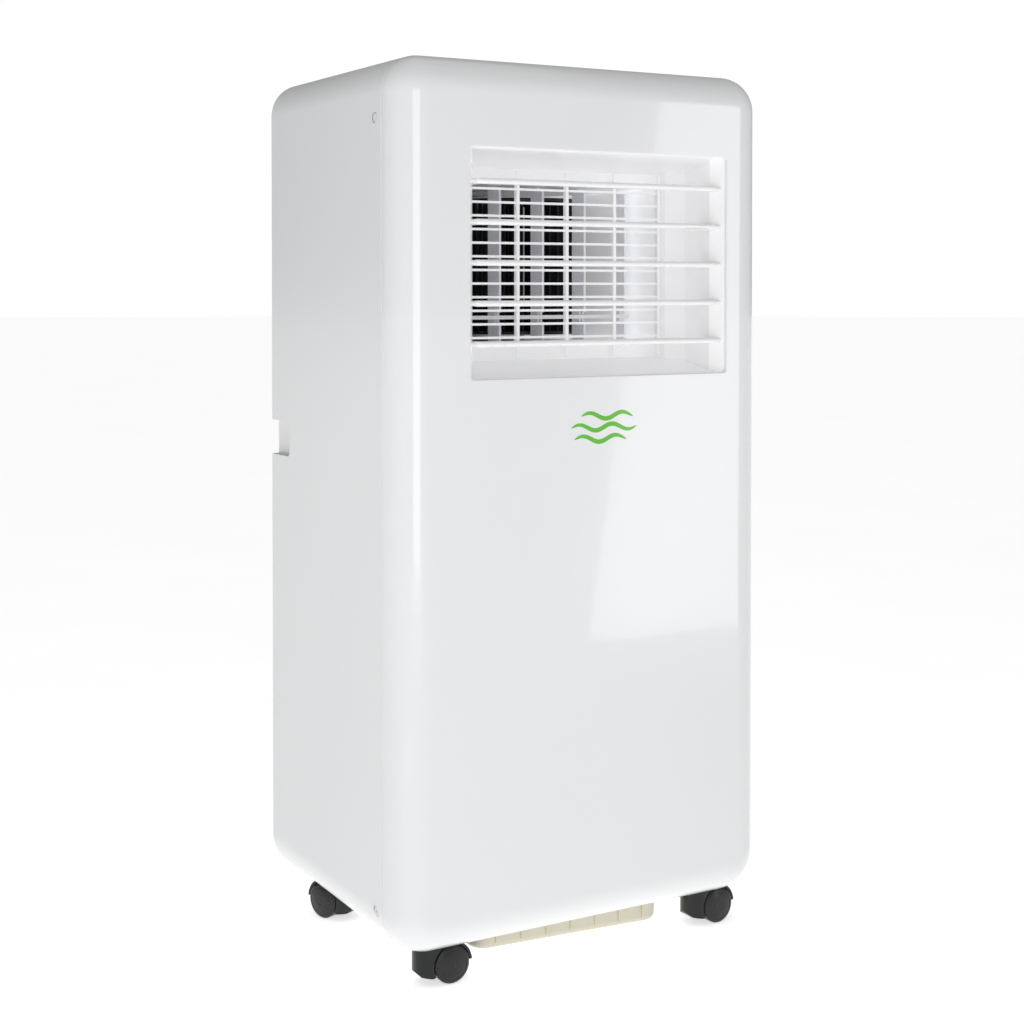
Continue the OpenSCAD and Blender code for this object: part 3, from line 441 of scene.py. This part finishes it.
def boolean(target, cutters):
    """Cuts the cutters out of the target's bmesh with Blender's exact solver."""
    mesh = bpy.data.meshes.new("cut")
    target.to_mesh(mesh)
    target.free()
    obj = bpy.data.objects.new("cut", mesh)
    scene.collection.objects.link(obj)
    tool_mesh = bpy.data.meshes.new("tool")
    cutters.to_mesh(tool_mesh)
    cutters.free()
    tool = bpy.data.objects.new("tool", tool_mesh)
    scene.collection.objects.link(tool)
    mod = obj.modifiers.new("cut", "BOOLEAN")
    mod.operation = "DIFFERENCE"
    mod.solver = "EXACT"
    mod.use_self = False
    mod.object = tool
    depsgraph = bpy.context.evaluated_depsgraph_get()
    out = bmesh.new()
    out.from_mesh(obj.evaluated_get(depsgraph).to_mesh())
    for o in (obj, tool):
        bpy.data.objects.remove(o)
    for m in (mesh, tool_mesh):
        bpy.data.meshes.remove(m)
    return out


# ---------------------------------------------------------------- front shell

MOUTH_R = 3.0            # corner radius of the outlet opening


def shell_ring(y, inset):
    """The front shell's outline at a depth, drawn in all round."""
    return [(x, y, z) for x, z in outline(HALF_W - inset, BOTTOM_Z + inset, TOP_Z - inset,
                                          BOTTOM_R - inset, TOP_R - inset)]


def mouth_ring(y, grow):
    """The outlet opening's outline at a depth, grown all round."""
    z0, z1, r = OUTLET_Z - OUTLET_HH - grow, OUTLET_Z + OUTLET_HH + grow, MOUTH_R + grow
    return [(x, y, z) for x, z in outline(OUTLET_HW + grow, z0, z1, r, r, x=OUTLET_X)]


def front_shell():
    """Closed shell: seam edge, wide fillet, flat face, rounded mouth, and the same again inside."""
    bm = bmesh.new()
    rings = [shell_ring(SEAM_Y, WALL), shell_ring(SEAM_Y, 0.7), shell_ring(SEAM_Y - 0.2, 0.25),
             shell_ring(SEAM_Y - 0.7, 0.02)]
    steps = 18
    for i in range(1, steps + 1):
        a = math.radians(90) * i / steps
        rings.append(shell_ring(SEAM_Y - EDGE_R * math.sin(a), EDGE_R * (1 - math.cos(a))))
    rings.append(shell_ring(FRONT_Y, EDGE_R + 0.3))
    lip = 1.1
    rings.append(mouth_ring(FRONT_Y, lip + 3))
    for i in range(6):
        a = math.radians(90) * i / 5
        rings.append(mouth_ring(FRONT_Y + lip * (1 - math.cos(a)), lip * (1 - math.sin(a))))
    rings.append(mouth_ring(FRONT_Y + WALL, 0))
    inner = EDGE_R - WALL
    rings.append(shell_ring(FRONT_Y + WALL, EDGE_R + 0.3))
    for i in range(8, -1, -1):
        a = math.radians(90) * i / 8
        rings.append(shell_ring(SEAM_Y - inner * math.sin(a), WALL + inner * (1 - math.cos(a))))
    rings.pop()
    loft(bm, rings, closed=True)
    finish_piece(bm, "front_shell_gloss", M["front"], "cabinet", ("front_shell",), sharp=50)


front_shell()


# ---------------------------------------------------------------- side casing

PANEL = box_mm("control_panel")
GRIP = box_mm("grip_right")
GRIP_Z0, GRIP_Z1, GRIP_Y = GRIP[0][2] + WALL, GRIP[1][2] - WALL, GRIP[0][1] + 3
GRIP_DEPTH, GRIP_CORNER_R = 6, 4.0
TRAY_HOLE = (-83, -108), (87, 90)      # the opening in the underside, in X and Y
TRAY_HOLE_R = 12.0
SCREW_Y, SCREW_Z = SEAM_Y + 11, (61, 321, 635)
SCREW_RECESS_R, SCREW_RECESS_DEPTH = 3.9, 1.15
SOCKET_R, SOCKET_HOLE_R, SOCKET_H = 7.0, 5.0, 25
CASTER_AT = {}
for key in ("fl", "fr", "rl", "rr"):
    joint = next(j for j in frame["joints"] if j["name"] == "caster_" + key + "_swivel")
    CASTER_AT[key] = (joint["pos_m"][0] / MM, joint["pos_m"][1] / MM)


def casing_ring(y, inset):
    """The casing's outline at a depth, drawn in all round."""
    return [(x, y, z) for x, z in outline(HALF_W - inset, BOTTOM_Z + inset, TOP_Z - inset,
                                          BOTTOM_R - inset, TOP_R - inset, 16)]


def rounded_cutter(bm, lo, hi, r, axis):
    """A prism along an axis with rounded corners, used to cut an opening."""
    u, v = [k for k in range(3) if k != axis]
    hw, hh = (hi[u] - lo[u]) / 2, (hi[v] - lo[v]) / 2
    cu, cv = (hi[u] + lo[u]) / 2, (hi[v] + lo[v]) / 2
    rings = []
    for d in (lo[axis], hi[axis]):
        ring = []
        for a, b in outline(hw, -hh, hh, r, r, 8):
            p = [0, 0, 0]
            p[axis], p[u], p[v] = d, cu + a, cv + b
            ring.append(tuple(p))
        rings.append(ring)
    loft(bm, rings, caps=(True, True))


def corner_inset(z):
    """How far the wall stands inside the full half width at a height."""
    low, high = BOTTOM_Z + BOTTOM_R, TOP_Z - TOP_R
    if z < low:
        return BOTTOM_R - math.sqrt(BOTTOM_R ** 2 - (low - z) ** 2)
    if z > high:
        return TOP_R - math.sqrt(TOP_R ** 2 - (z - high) ** 2)
    return 0.0


def side_casing():
    """The wrap: a thin lip behind the seam, rounded edges, and its openings cut out."""
    bm = bmesh.new()
    front = [(-0.3, WALL), (-0.3, 0.75), (0.0, 0.7), (0.2, 0.2), (0.7, 0.0)]
    back = [(-0.8, 0.0), (-0.24, 0.24), (0.0, 0.8), (0.0, WALL)]
    rings = [casing_ring(CASING_Y0 + y, inset) for y, inset in front]
    rings += [casing_ring(CASING_Y1 + y, inset) for y, inset in back]
    loft(bm, rings, closed=True)
    cut = bmesh.new()
    for side in (-1, 1):
        x0, x1 = sorted((side * (HALF_W - GRIP_DEPTH), side * (HALF_W + 2)))
        rounded_cutter(cut, (x0, GRIP_Y, GRIP_Z0), (x1, CASING_Y1 + 8, GRIP_Z1), GRIP_CORNER_R, 0)
        for z in SCREW_Z:
            x = side * (HALF_W - corner_inset(z))
            ends = x - side * SCREW_RECESS_DEPTH, x + side * 3
            lathe(cut, [(SCREW_RECESS_R, end) for end in ends], "X", (0, SCREW_Y, z), 40)
    rounded_cutter(cut, (PANEL[0][0] - 0.3, PANEL[0][1] - 0.3, TOP_Z - WALL - 2),
                   (PANEL[1][0] + 0.3, PANEL[1][1] + 0.3, TOP_Z + 2), 3.0, 2)
    rounded_cutter(cut, (*TRAY_HOLE[0], BOTTOM_Z - 2), (*TRAY_HOLE[1], BOTTOM_Z + WALL + 2), TRAY_HOLE_R, 2)
    bm = boolean(bm, cut)
    limit = math.radians(50)
    edges = [e for e in bm.edges if len(e.link_faces) == 2 and e.calc_face_angle(0) > limit
             and CASING_Y0 + 3 < (e.verts[0].co.y + e.verts[1].co.y) / 2 < CASING_Y1 - 1.5]
    bmesh.ops.bevel(bm, geom=edges, offset=0.5, segments=3, profile=0.5, affect="EDGES", clamp_overlap=True)
    low, top = BOTTOM_Z + 0.4, BOTTOM_Z + SOCKET_H
    for x, y in CASTER_AT.values():
        lathe(bm, [(SOCKET_HOLE_R, low), (SOCKET_R - 0.2, low), (SOCKET_R, low + 0.6), (SOCKET_R, top),
                   (SOCKET_HOLE_R, top)], "Z", (x, y, 0), 32, closed=True)
    finish_piece(bm, "side_casing_gloss", M["casing"], "cabinet", ("side_casing",), sharp=50)


side_casing()
for name in ("grip_left", "grip_right"):
    soften(name, M["casing"], "cabinet", 0.6, 3)


# ---------------------------------------------------------------- outlet

soften("outlet_frame", M["recess"], "cabinet", 0.5, 3, 28)
soften("outlet_grid", M["recess"], "cabinet", 0.45, 3)

JOINT = {j["name"]: j for j in frame["joints"]}


def joint_at(name):
    """Where a joint stands, in millimetres."""
    return [c / MM for c in JOINT[name]["pos_m"]]


LOUVRE_HALF, LOUVRE_HALF_T = 107.0, 2.2     # half the length and half the thickness of a blade
LOUVRE_FRONT, LOUVRE_BACK = -4.5, 11.0      # the blade's edges, from its pivot
ARM_X, CRANK, CRANK_END_X = -100.5, 16.0, -105.4
LOUVRE_PIN_R, CRANK_PIN_R = 1.8, 1.2


def louvre(index):
    """A blade with a full front edge, thinner behind, round tips, end pins and an arm with a crank pin."""
    node = f"louvre_{index}"
    x0, y0, z0 = OUTLET_X, *joint_at(node + "_tilt")[1:]
    bm = bmesh.new()
    half, thick = LOUVRE_HALF, LOUVRE_HALF_T
    stations = [-half + 0.05, -half + 0.5, -half + 1.4, -half + 3.0, -half + 6.0]
    stations += [-half + 20 * k for k in range(1, 11)] + [-s for s in reversed(stations)]
    stations = sorted(set(round(s, 3) for s in stations))
    rings = []
    for s in stations:
        d = half - abs(s)
        tip = math.sqrt(max(0.0, 1 - (1 - min(1.0, d / 4.0)) ** 2))
        yf = LOUVRE_FRONT * (0.35 + 0.65 * tip)
        yb = LOUVRE_BACK - (2.5 * (1 - tip)) - max(0.0, 3.0 - d) * 1.2
        t = thick * (0.45 + 0.55 * math.sqrt(max(0.0, 1 - (1 - min(1.0, d / 1.6)) ** 2)))
        section = []
        for i in range(9):
            a = math.radians(90 + 180 * i / 8)
            section.append((yf + t + t * math.cos(a), t * math.sin(a)))
        section += [(yf + 6, -t), (yb - 2, -t * 0.62), (yb - 0.4, -t * 0.55), (yb, -t * 0.3), (yb, t * 0.3),
                    (yb - 0.4, t * 0.55), (yb - 2, t * 0.62), (yf + 6, t)]
        rings.append([(x0 + s, y0 + y, z0 + z) for y, z in section])
    loft(bm, rings, caps=(True, True))
    soft_block(bm, (x0 + ARM_X, y0 + 8, z0 - 1.9), (x0 + ARM_X + 2.5, y0 + CRANK + 2, z0 + 1.9), 0.7, 0, 3)
    for side in (-1, 1):
        a, b = side * (half - 6), side * OUTLET_HW
        lathe(bm, [(LOUVRE_PIN_R, a), (LOUVRE_PIN_R, b - side * 0.4), (1.4, b)], "X", (x0, y0, z0), 24)
    lathe(bm, [(CRANK_PIN_R, CRANK_END_X), (CRANK_PIN_R, ARM_X + 0.2)], "X", (x0, y0 + CRANK, z0), 20)
    if index == 2:
        for k in range(8):
            x = x0 + 76 + 2.6 * k
            soft_block(bm, (x, y0 - 4.4, z0 - 3.6), (x + 1.3, y0 - 0.8, z0 - 1.6), 0.4, 0, 2)
        soft_block(bm, (x0 + 74.6, y0 - 4.2, z0 - 2.8), (x0 + 97, y0 - 0.8, z0 - 1.8), 0.3, 0, 2)
    finish_piece(bm, node + "_blade", M["louvre"], node, (node,), sharp=45)


for k in range(1, 6):
    louvre(k)
soften("louvre_link", M["trim"], "louvre_link", 0.4, 2)
for k in range(1, 6):
    soften(f"vane_{k}", M["vane"], f"vane_{k}", 0.5, 3)
soften("vane_link", M["trim"], "vane_link", 0.4, 2)


# ---------------------------------------------------------------- blowers

BLADES = 44


def blower(node, name):
    """A squirrel-cage wheel with forward-curved blades between a dished plate and an end ring."""
    lo, hi = box_mm(node)
    cx, cy = (lo[0] + hi[0]) / 2, (lo[1] + hi[1]) / 2
    r = (hi[0] - lo[0]) / 2
    z0, z1 = lo[2], hi[2]
    plate_low = node == "upper_wheel"
    bm = bmesh.new()
    base, top = (z0, z1) if plate_low else (z1, z0)
    up = 1 if plate_low else -1
    bore = 4.02
    plate = [(bore, 0), (r - 0.6, 0), (r, 0.6), (r, 2.5), (r - 10, 2.5), (24, 5), (11, 9), (11, 24),
             (10.4, 24.5), (bore, 24.5)]
    rim = [(r - 11, 3), (r - 0.5, 3), (r, 2.6), (r, 0.4), (r - 0.5, 0), (r - 10.6, 0), (r - 11, 0.4)]
    lathe(bm, [(rad, base + h * up) for rad, h in plate], "Z", (cx, cy, 0), 72, closed=True)
    lathe(bm, [(rad, top - h * up) for rad, h in rim], "Z", (cx, cy, 0), 72, closed=True)
    for i in range(BLADES):
        turn = 2 * math.pi * i / BLADES
        path = []
        for k in range(7):
            t = k / 6
            rad = r - 10.5 + 9.9 * t
            ang = turn + math.radians(8.5) * math.sin(t * math.pi / 2) - math.radians(3) * t
            path.append((cx + rad * math.cos(ang), cy + rad * math.sin(ang)))
        left, right = [], []
        for k, (x, y) in enumerate(path):
            px, py = path[max(0, k - 1)]
            qx, qy = path[min(6, k + 1)]
            dx, dy = qx - px, qy - py
            n = math.hypot(dx, dy)
            h = 0.55 * (0.55 + 0.9 * math.sin(math.pi * min(0.95, k / 6 + 0.05)))
            left.append((x - dy / n * h, y + dx / n * h))
            right.append((x + dy / n * h, y - dx / n * h))
        section = left + right[::-1]
        ends = [[(x, y, z) for x, y in section] for z in (base + 2.4 * up, top - 2.9 * up)]
        loft(bm, ends, caps=(True, True))
    finish_piece(bm, name, M["blower"], "fan_rotor", (node,), sharp=35)


blower("upper_wheel", "upper_blower")
blower("lower_wheel", "lower_blower")
soften("fan_shaft", M["steel"], "fan_rotor", 0.5, 2)
soften("fan_motor", M["zinc"], "cabinet", 0.8, 3)
for name in ("upper_scroll", "upper_scroll_lid", "lower_scroll", "lower_inlet_plate", "mid_deck"):
    soften(name, M["duct"], "cabinet", 0.4, 2, 50)


# ---------------------------------------------------------------- emblem

WAVE_PITCH, WAVE_H, WAVE_HALF_W = 29.0, 2.3, 1.75


def emblem():
    """Three drifting air waves, printed in green under the outlet: a generic sign for moving air."""
    bm = bmesh.new()
    cz = OUTLET_Z - OUTLET_HH - 38.5
    for row, (length, shift) in enumerate(((46, 3), (58, 0), (46, -3))):
        z = cz + (1 - row) * 8.6
        rings = []
        steps = 44
        for i in range(steps + 1):
            t = i / steps
            x = OUTLET_X + shift + (t - 0.5) * length
            a = 2 * math.pi * (t * length / WAVE_PITCH)
            wz = z + WAVE_H * math.sin(a)
            slope = WAVE_H * 2 * math.pi / WAVE_PITCH * math.cos(a)
            n = math.hypot(1, slope)
            taper = math.sqrt(max(0.02, 1 - abs(2 * t - 1) ** 5))
            half = WAVE_HALF_W * taper * (0.72 + 0.28 * math.sin(math.pi * t))
            nx, nz = -slope / n * half, half / n
            y0, y1 = FRONT_Y + 0.02, FRONT_Y - 0.12
            rings.append([(x + nx, y0, wz + nz), (x + nx * 0.94, y1, wz + nz * 0.94),
                          (x - nx * 0.94, y1, wz - nz * 0.94), (x - nx, y0, wz - nz)])
        loft(bm, rings, caps=(True, True))
    finish_piece(bm, "air_wave_emblem", M["emblem"], "cabinet", sharp=30)


emblem()


# ---------------------------------------------------------------- base tray and casters

soften("base_pan", M["tray"], "cabinet", 0.5, 3, 30)


WHEEL_R, AXLE_R = 14.2, 2.0


def caster(key):
    """One caster: its hood with softened edges, and two discs with a grooved tread on one axle."""
    hood, wheels = "caster_" + key, "wheels_" + key
    bm = from_node(hood, 0.9, 3, 40)
    finish_piece(bm, hood + "_hood", M["black"], hood, (hood,), sharp=40)
    ax, ay, az = joint_at("caster_" + key + "_roll")
    turn = JOINT["caster_" + key + "_roll"]["axis"]
    bm = bmesh.new()
    r = WHEEL_R
    for side in (-1, 1):
        tyre = [(3.0, 2.9), (r - 1.6, 2.9), (r - 0.5, 3.2), (r, 3.9), (r, 7.6), (r - 0.35, 7.9),
                (r - 0.35, 8.3), (r, 8.6), (r, 12.1), (r - 0.35, 12.8), (r - 1.1, 13.3), (r - 2.0, 13.75),
                (r - 2.7, 13.9), (r - 3.1, 13.72), (r - 3.5, 13.85), (9.0, 14.35), (6.5, 14.7),
                (4.0, 14.95), (3.4, 14.98), (2.9, 14.75), (2.6, 14.75), (1.2, 15.1), (0.0, 15.15)]
        lathe(bm, [(rad, side * y) for rad, y in tyre], "Y", (0, 0, 0), 64)
    lathe(bm, [(AXLE_R, -3.4), (AXLE_R, 3.4)], "Y", (0, 0, 0), 24)
    angle = math.atan2(turn[1], turn[0]) - math.radians(90)
    bmesh.ops.rotate(bm, cent=(0, 0, 0), matrix=Matrix.Rotation(angle, 3, "Z"), verts=bm.verts)
    bmesh.ops.translate(bm, vec=(ax, ay, az), verts=bm.verts)
    finish_piece(bm, wheels + "_discs", M["tread"], wheels, (wheels,), sharp=40)


for key in ("fl", "fr", "rl", "rr"):
    caster(key)


# ---------------------------------------------------------------- screws

soften("screws", M["screw"], "cabinet", 0.42, 3)


# ---------------------------------------------------------------- rear

soften("rear_cover", M["rear"], "cabinet", 0.5, 3, 40)


def intake(node, body):
    """An intake grille; the sheet behind its slats is the dust net."""
    bm = from_node(node, 0.45, 2, 40)
    lo, hi = box_mm(node)
    for face in bm.faces:
        c = face.calc_center_median()
        inside = lo[0] + 7 < c.x < hi[0] - 7 and lo[2] + 7 < c.z < hi[2] - 7
        if inside and c.y < lo[1] + 0.7:
            face.material_index = 1
    finish_piece(bm, node + "_slats", [M["trim"], M["net"]], body, (node,))


intake("upper_intake_grille", "upper_intake")
intake("lower_intake_grille", "lower_intake")


def collar():
    """The hose socket, with a rounded mouth and a coarse thread inside for the hose end."""
    lo, hi = box_mm("exhaust_collar")
    cx, cz = (lo[0] + hi[0]) / 2, (lo[2] + hi[2]) / 2
    outer, y0, y1 = (hi[0] - lo[0]) / 2, lo[1], hi[1]
    inner = outer - WALL
    profile = [(outer, y0), (outer, y1 - 0.8), (outer - 0.3, y1 - 0.2), (outer - 0.9, y1), (inner + 0.7, y1),
               (inner + 0.15, y1 - 0.3), (inner, y1 - 1)]
    y = y1 - 6
    while y > y0 + 5:
        profile += [(inner, y + 1.6), (inner - 0.9, y + 0.8), (inner - 0.9, y - 0.2), (inner, y - 1)]
        y -= 7
    profile += [(inner, y0)]
    bm = bmesh.new()
    lathe(bm, profile, "Y", (cx, 0, cz), 96, closed=True)
    finish_piece(bm, "exhaust_collar_thread", M["rear"], "cabinet", ("exhaust_collar",),
                 sharp=30)


collar()
soften("cable_gland", M["rubber"], "cabinet", 0.6, 3)
soften("drain_plug", M["rubber"], "drain_plug", 0.5, 3)


# ---------------------------------------------------------------- control panel

soften("control_panel", M["panel"], "cabinet", 0.3, 2)
soften("display_window", M["window"], "cabinet", 0.2, 2)


def flat_strip(bm, points, half, z, top, closed=False):
    """A thin raised line through points in XY."""
    n = len(points)
    rings = []
    for i, (x, y) in enumerate(points):
        px, py = points[(i - 1) % n] if closed or i else points[i]
        qx, qy = points[(i + 1) % n] if closed or i < n - 1 else points[i]
        dx, dy = qx - px, qy - py
        d = math.hypot(dx, dy) or 1
        nx, ny = -dy / d * half, dx / d * half
        rings.append([(x + nx, y + ny, z), (x + nx, y + ny, top), (x - nx, y - ny, top), (x - nx, y - ny, z)])
    loft(bm, rings, closed=closed, caps=(False, False) if closed else (True, True))


def arc(cx, cy, r, a0, a1, steps=16):
    """Points along a circle between two angles in degrees."""
    return [(cx + r * math.cos(math.radians(a0 + (a1 - a0) * i / steps)),
             cy + r * math.sin(math.radians(a0 + (a1 - a0) * i / steps))) for i in range(steps + 1)]


BUTTONS = ("power", "mode", "speed", "timer", "down", "up")


def glyph(bm, kind, x, y, z):
    """A small sign on a keycap: standby, snowflake, fan, clock, minus or plus."""
    top = z + 0.12
    if kind == "power":
        flat_strip(bm, arc(x, y, 2.3, 125, 415, 24), 0.28, z, top)
        flat_strip(bm, [(x, y + 0.4), (x, y + 3.0)], 0.28, z, top)
    elif kind == "mode":
        for a in (0, 60, 120):
            dx, dy = 2.6 * math.cos(math.radians(a)), 2.6 * math.sin(math.radians(a))
            flat_strip(bm, [(x - dx, y - dy), (x + dx, y + dy)], 0.24, z, top)
    elif kind == "speed":
        for a in (90, 210, 330):
            flat_strip(bm, arc(x + 1.3 * math.cos(math.radians(a)), y + 1.3 * math.sin(math.radians(a)), 1.2,
                               a - 150, a + 60, 12), 0.26, z, top)
    elif kind == "timer":
        flat_strip(bm, arc(x, y, 2.5, 0, 352, 28)[:-1], 0.26, z, top, closed=True)
        flat_strip(bm, [(x, y + 1.6), (x, y), (x + 1.2, y)], 0.24, z, top)
    else:
        flat_strip(bm, [(x - 2.2, y), (x + 2.2, y)], 0.3, z, top)
        if kind == "up":
            flat_strip(bm, [(x, y - 2.2), (x, y + 2.2)], 0.3, z, top)


def buttons():
    """The six keycaps, each with a dished top and its sign."""
    for kind in BUTTONS:
        node = "button_" + kind
        lo, hi = box_mm(node)
        x, y = (lo[0] + hi[0]) / 2, (lo[1] + hi[1]) / 2
        z0, z1 = lo[2], hi[2]
        bm = bmesh.new()
        lathe(bm, [(7.5, z0), (7.6, z0 + 0.3), (7.6, z0 + 1.8), (7.3, z0 + 2), (6.0, z0 + 2), (6.0, z1 - 0.7),
                   (5.85, z1 - 0.35), (5.4, z1 - 0.1), (4.4, z1 - 0.12), (2.0, z1 - 0.28), (0.0, z1 - 0.3)],
              "Z", (x, y, 0), 48)
        glyph_mesh = bmesh.new()
        glyph(glyph_mesh, kind, x, y, z1 - 0.34)
        for face in glyph_mesh.faces:
            face.material_index = 1
        carrier = bpy.data.meshes.new("glyph")
        glyph_mesh.to_mesh(carrier)
        glyph_mesh.free()
        bm.from_mesh(carrier)
        bpy.data.meshes.remove(carrier)
        finish_piece(bm, node + "_cap", [M["button"], M["glyph"]], node, (node,), sharp=30)


buttons()


# The seven bars of a digit, from its middle
SEGMENTS = (((-3, 5), (3, 5)), ((-3, 0), (3, 0)), ((-3, -5), (3, -5)), ((-3, 0.6), (-3, 4.4)),
            ((3, 0.6), (3, 4.4)), ((-3, -4.4), (-3, -0.6)), ((3, -4.4), (3, -0.6)))


def panel_marks():
    """Small lamps beside the keys, a printed frame round the window, and unlit digits in it."""
    lo, hi = PANEL
    z = hi[2]
    bm = bmesh.new()
    rows = [(k - 2.5) * 26 for k in range(6)]
    lamp = [(1.3, z - 0.1), (1.3, z + 0.1), (1.0, z + 0.22), (0.0, z + 0.28)]
    for x in rows:
        lathe(bm, lamp, "Z", (x, hi[1] - 12, 0), 20)
    window_frame = outline(18.5, -64.5, -43.5, 2.0, 2.0, 5)
    panel_frame = outline((hi[0] - lo[0]) / 2 - 4, lo[1] + 4, hi[1] - 4, 4, 4, 6)
    flat_strip(bm, window_frame, 0.2, z - 0.05, z + 0.06, closed=True)
    flat_strip(bm, panel_frame, 0.22, z - 0.05, z + 0.06, closed=True)
    finish_piece(bm, "panel_print", M["glyph"], "cabinet", sharp=30)
    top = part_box("display_window")[1][2] / MM
    bm = bmesh.new()
    for cx in (-5.5, 5.5):
        for (ax, ay), (bx, by) in SEGMENTS:
            flat_strip(bm, [(cx + ax, -54 + ay), (cx + bx, -54 + by)], 0.55, top - 0.05, top + 0.03)
    finish_piece(bm, "display_segments", M["segment"], "cabinet", sharp=30)


panel_marks()


# ---------------------------------------------------------------- inside

dress(("evaporator", "condenser"), M["fins"])
dress(("power_board", "control_board"), M["board"])
for name in ("compressor", "control_box"):
    soften(name, M["enamel" if name == "compressor" else "zinc"], "cabinet",
           0.8, 2, 50)
dress(("discharge_pipe", "suction_pipe", "capillary"), M["copper"])


# ---------------------------------------------------------------- studio

def area_light(name, at, look, size, power, roll=0.0, diffuse=True, glossy=True):
    """A soft rectangular light, unseen by the camera; roll turns it about its own direction."""
    data = bpy.data.lights.new(name, "AREA")
    data.shape = "RECTANGLE"
    data.size, data.size_y = size
    data.energy = power
    lamp = bpy.data.objects.new(name, data)
    scene.collection.objects.link(lamp)
    direction = Vector(look) - Vector(at)
    lamp.rotation_mode = "QUATERNION"
    turn = Matrix.Rotation(math.radians(roll), 3, "Z").to_quaternion()
    lamp.rotation_quaternion = direction.to_track_quat("-Z", "Y") @ turn
    lamp.location = at
    lamp.visible_camera = False
    lamp.visible_diffuse = diffuse
    lamp.visible_glossy = glossy


FLOOR_GLOW, FLOOR_R = 0.62, 30


def floor():
    """A pale stage floor, a little luminous so that it meets the white background unseen."""
    n = Nodes("pale_floor")
    n.link(n.ramp(n.noise(3, 3), (0.90, 0.90, 0.90, 1), (0.93, 0.93, 0.93, 1)), n.bsdf.inputs["Base Color"])
    n.set(Roughness=0.8, Specular_IOR_Level=0.2)
    n.bsdf.inputs["Emission Color"].default_value = (1, 1, 1, 1)
    n.set(Emission_Strength=FLOOR_GLOW)
    bm = bmesh.new()
    bmesh.ops.create_circle(bm, cap_ends=True, radius=FLOOR_R, segments=96)
    mesh = bpy.data.meshes.new("floor")
    bm.to_mesh(mesh)
    bm.free()
    mesh.materials.append(n.mat)
    ground = bpy.data.objects.new("floor", mesh)
    scene.collection.objects.link(ground)


floor()
area_light("strip", (-0.78, -1.92, 0.45), (-0.78, 0.0, 0.45), (0.8, 0.9), 5.3)
area_light("window", (0.86, -1.14, 0.45), (0.86, 0.0, 0.45), (0.32, 0.95), 2.1, roll=-9, diffuse=False)
area_light("fill", (-0.75, -0.55, 0.45), (0.0, -0.55, 0.45), (0.3, 0.9), 0.85, glossy=False)
area_light("top", (0.2, 0.1, 2.4), (0.0, 0.1, 0.3), (1.6, 1.6), 2.6)

BACKDROP, AMBIENT = 1.02, (0.39, 0.27)      # strengths: seen by the camera, and most and least light cast
DARK_WAY, DARK_RANGE = (-0.4, 0.9, 0.0), (0.2, 0.95)    # the least light comes from here; where it fades


def studio_world():
    """White behind the object; the light it casts is dimmer, and dimmest from behind on the left."""
    world = bpy.data.worlds.new("studio")
    scene.world = world
    world.use_nodes = True
    nodes, link = world.node_tree.nodes, world.node_tree.links.new
    nodes.clear()
    out, mix = nodes.new("ShaderNodeOutputWorld"), nodes.new("ShaderNodeMixShader")
    seen, lit = nodes.new("ShaderNodeBackground"), nodes.new("ShaderNodeBackground")
    for background in (seen, lit):
        background.inputs["Color"].default_value = (1, 1, 1, 1)
    seen.inputs["Strength"].default_value = BACKDROP
    path, way = nodes.new("ShaderNodeLightPath"), nodes.new("ShaderNodeTexCoord")
    dark_side, level = nodes.new("ShaderNodeVectorMath"), nodes.new("ShaderNodeMapRange")
    dark_side.operation = "DOT_PRODUCT"
    dark_side.inputs[1].default_value = DARK_WAY
    for key, value in zip(("From Min", "From Max", "To Min", "To Max"), (*DARK_RANGE, *AMBIENT)):
        level.inputs[key].default_value = value
    link(way.outputs["Generated"], dark_side.inputs[0])
    link(dark_side.outputs["Value"], level.inputs["Value"])
    link(level.outputs["Result"], lit.inputs["Strength"])
    link(path.outputs["Is Camera Ray"], mix.inputs["Fac"])
    link(lit.outputs["Background"], mix.inputs[1])
    link(seen.outputs["Background"], mix.inputs[2])
    link(mix.outputs["Shader"], out.inputs["Surface"])


studio_world()

# The camera looks almost level, so the uprights stay parallel; the lens shift lowers the view instead
YAW, PITCH = math.radians(29.652), math.radians(1.105)
LENS, SENSOR, SHIFT_Y = 60.0391406, 36, -0.18661133
CAMERA_AT = (-0.68445, -1.22005, 0.51271)
forward = Vector((math.sin(YAW) * math.cos(PITCH), math.cos(YAW) * math.cos(PITCH), -math.sin(PITCH)))
camera_data = bpy.data.cameras.new("camera")
camera_data.lens = LENS
camera_data.sensor_width = SENSOR
camera_data.shift_y = SHIFT_Y
camera_data.clip_end = 100
camera = bpy.data.objects.new("camera", camera_data)
scene.collection.objects.link(camera)
camera.location = CAMERA_AT
camera.rotation_mode = "QUATERNION"
camera.rotation_quaternion = forward.to_track_quat("-Z", "Y")
scene.camera = camera
scene.view_settings.view_transform = "Standard"
scene.view_settings.look = "None"
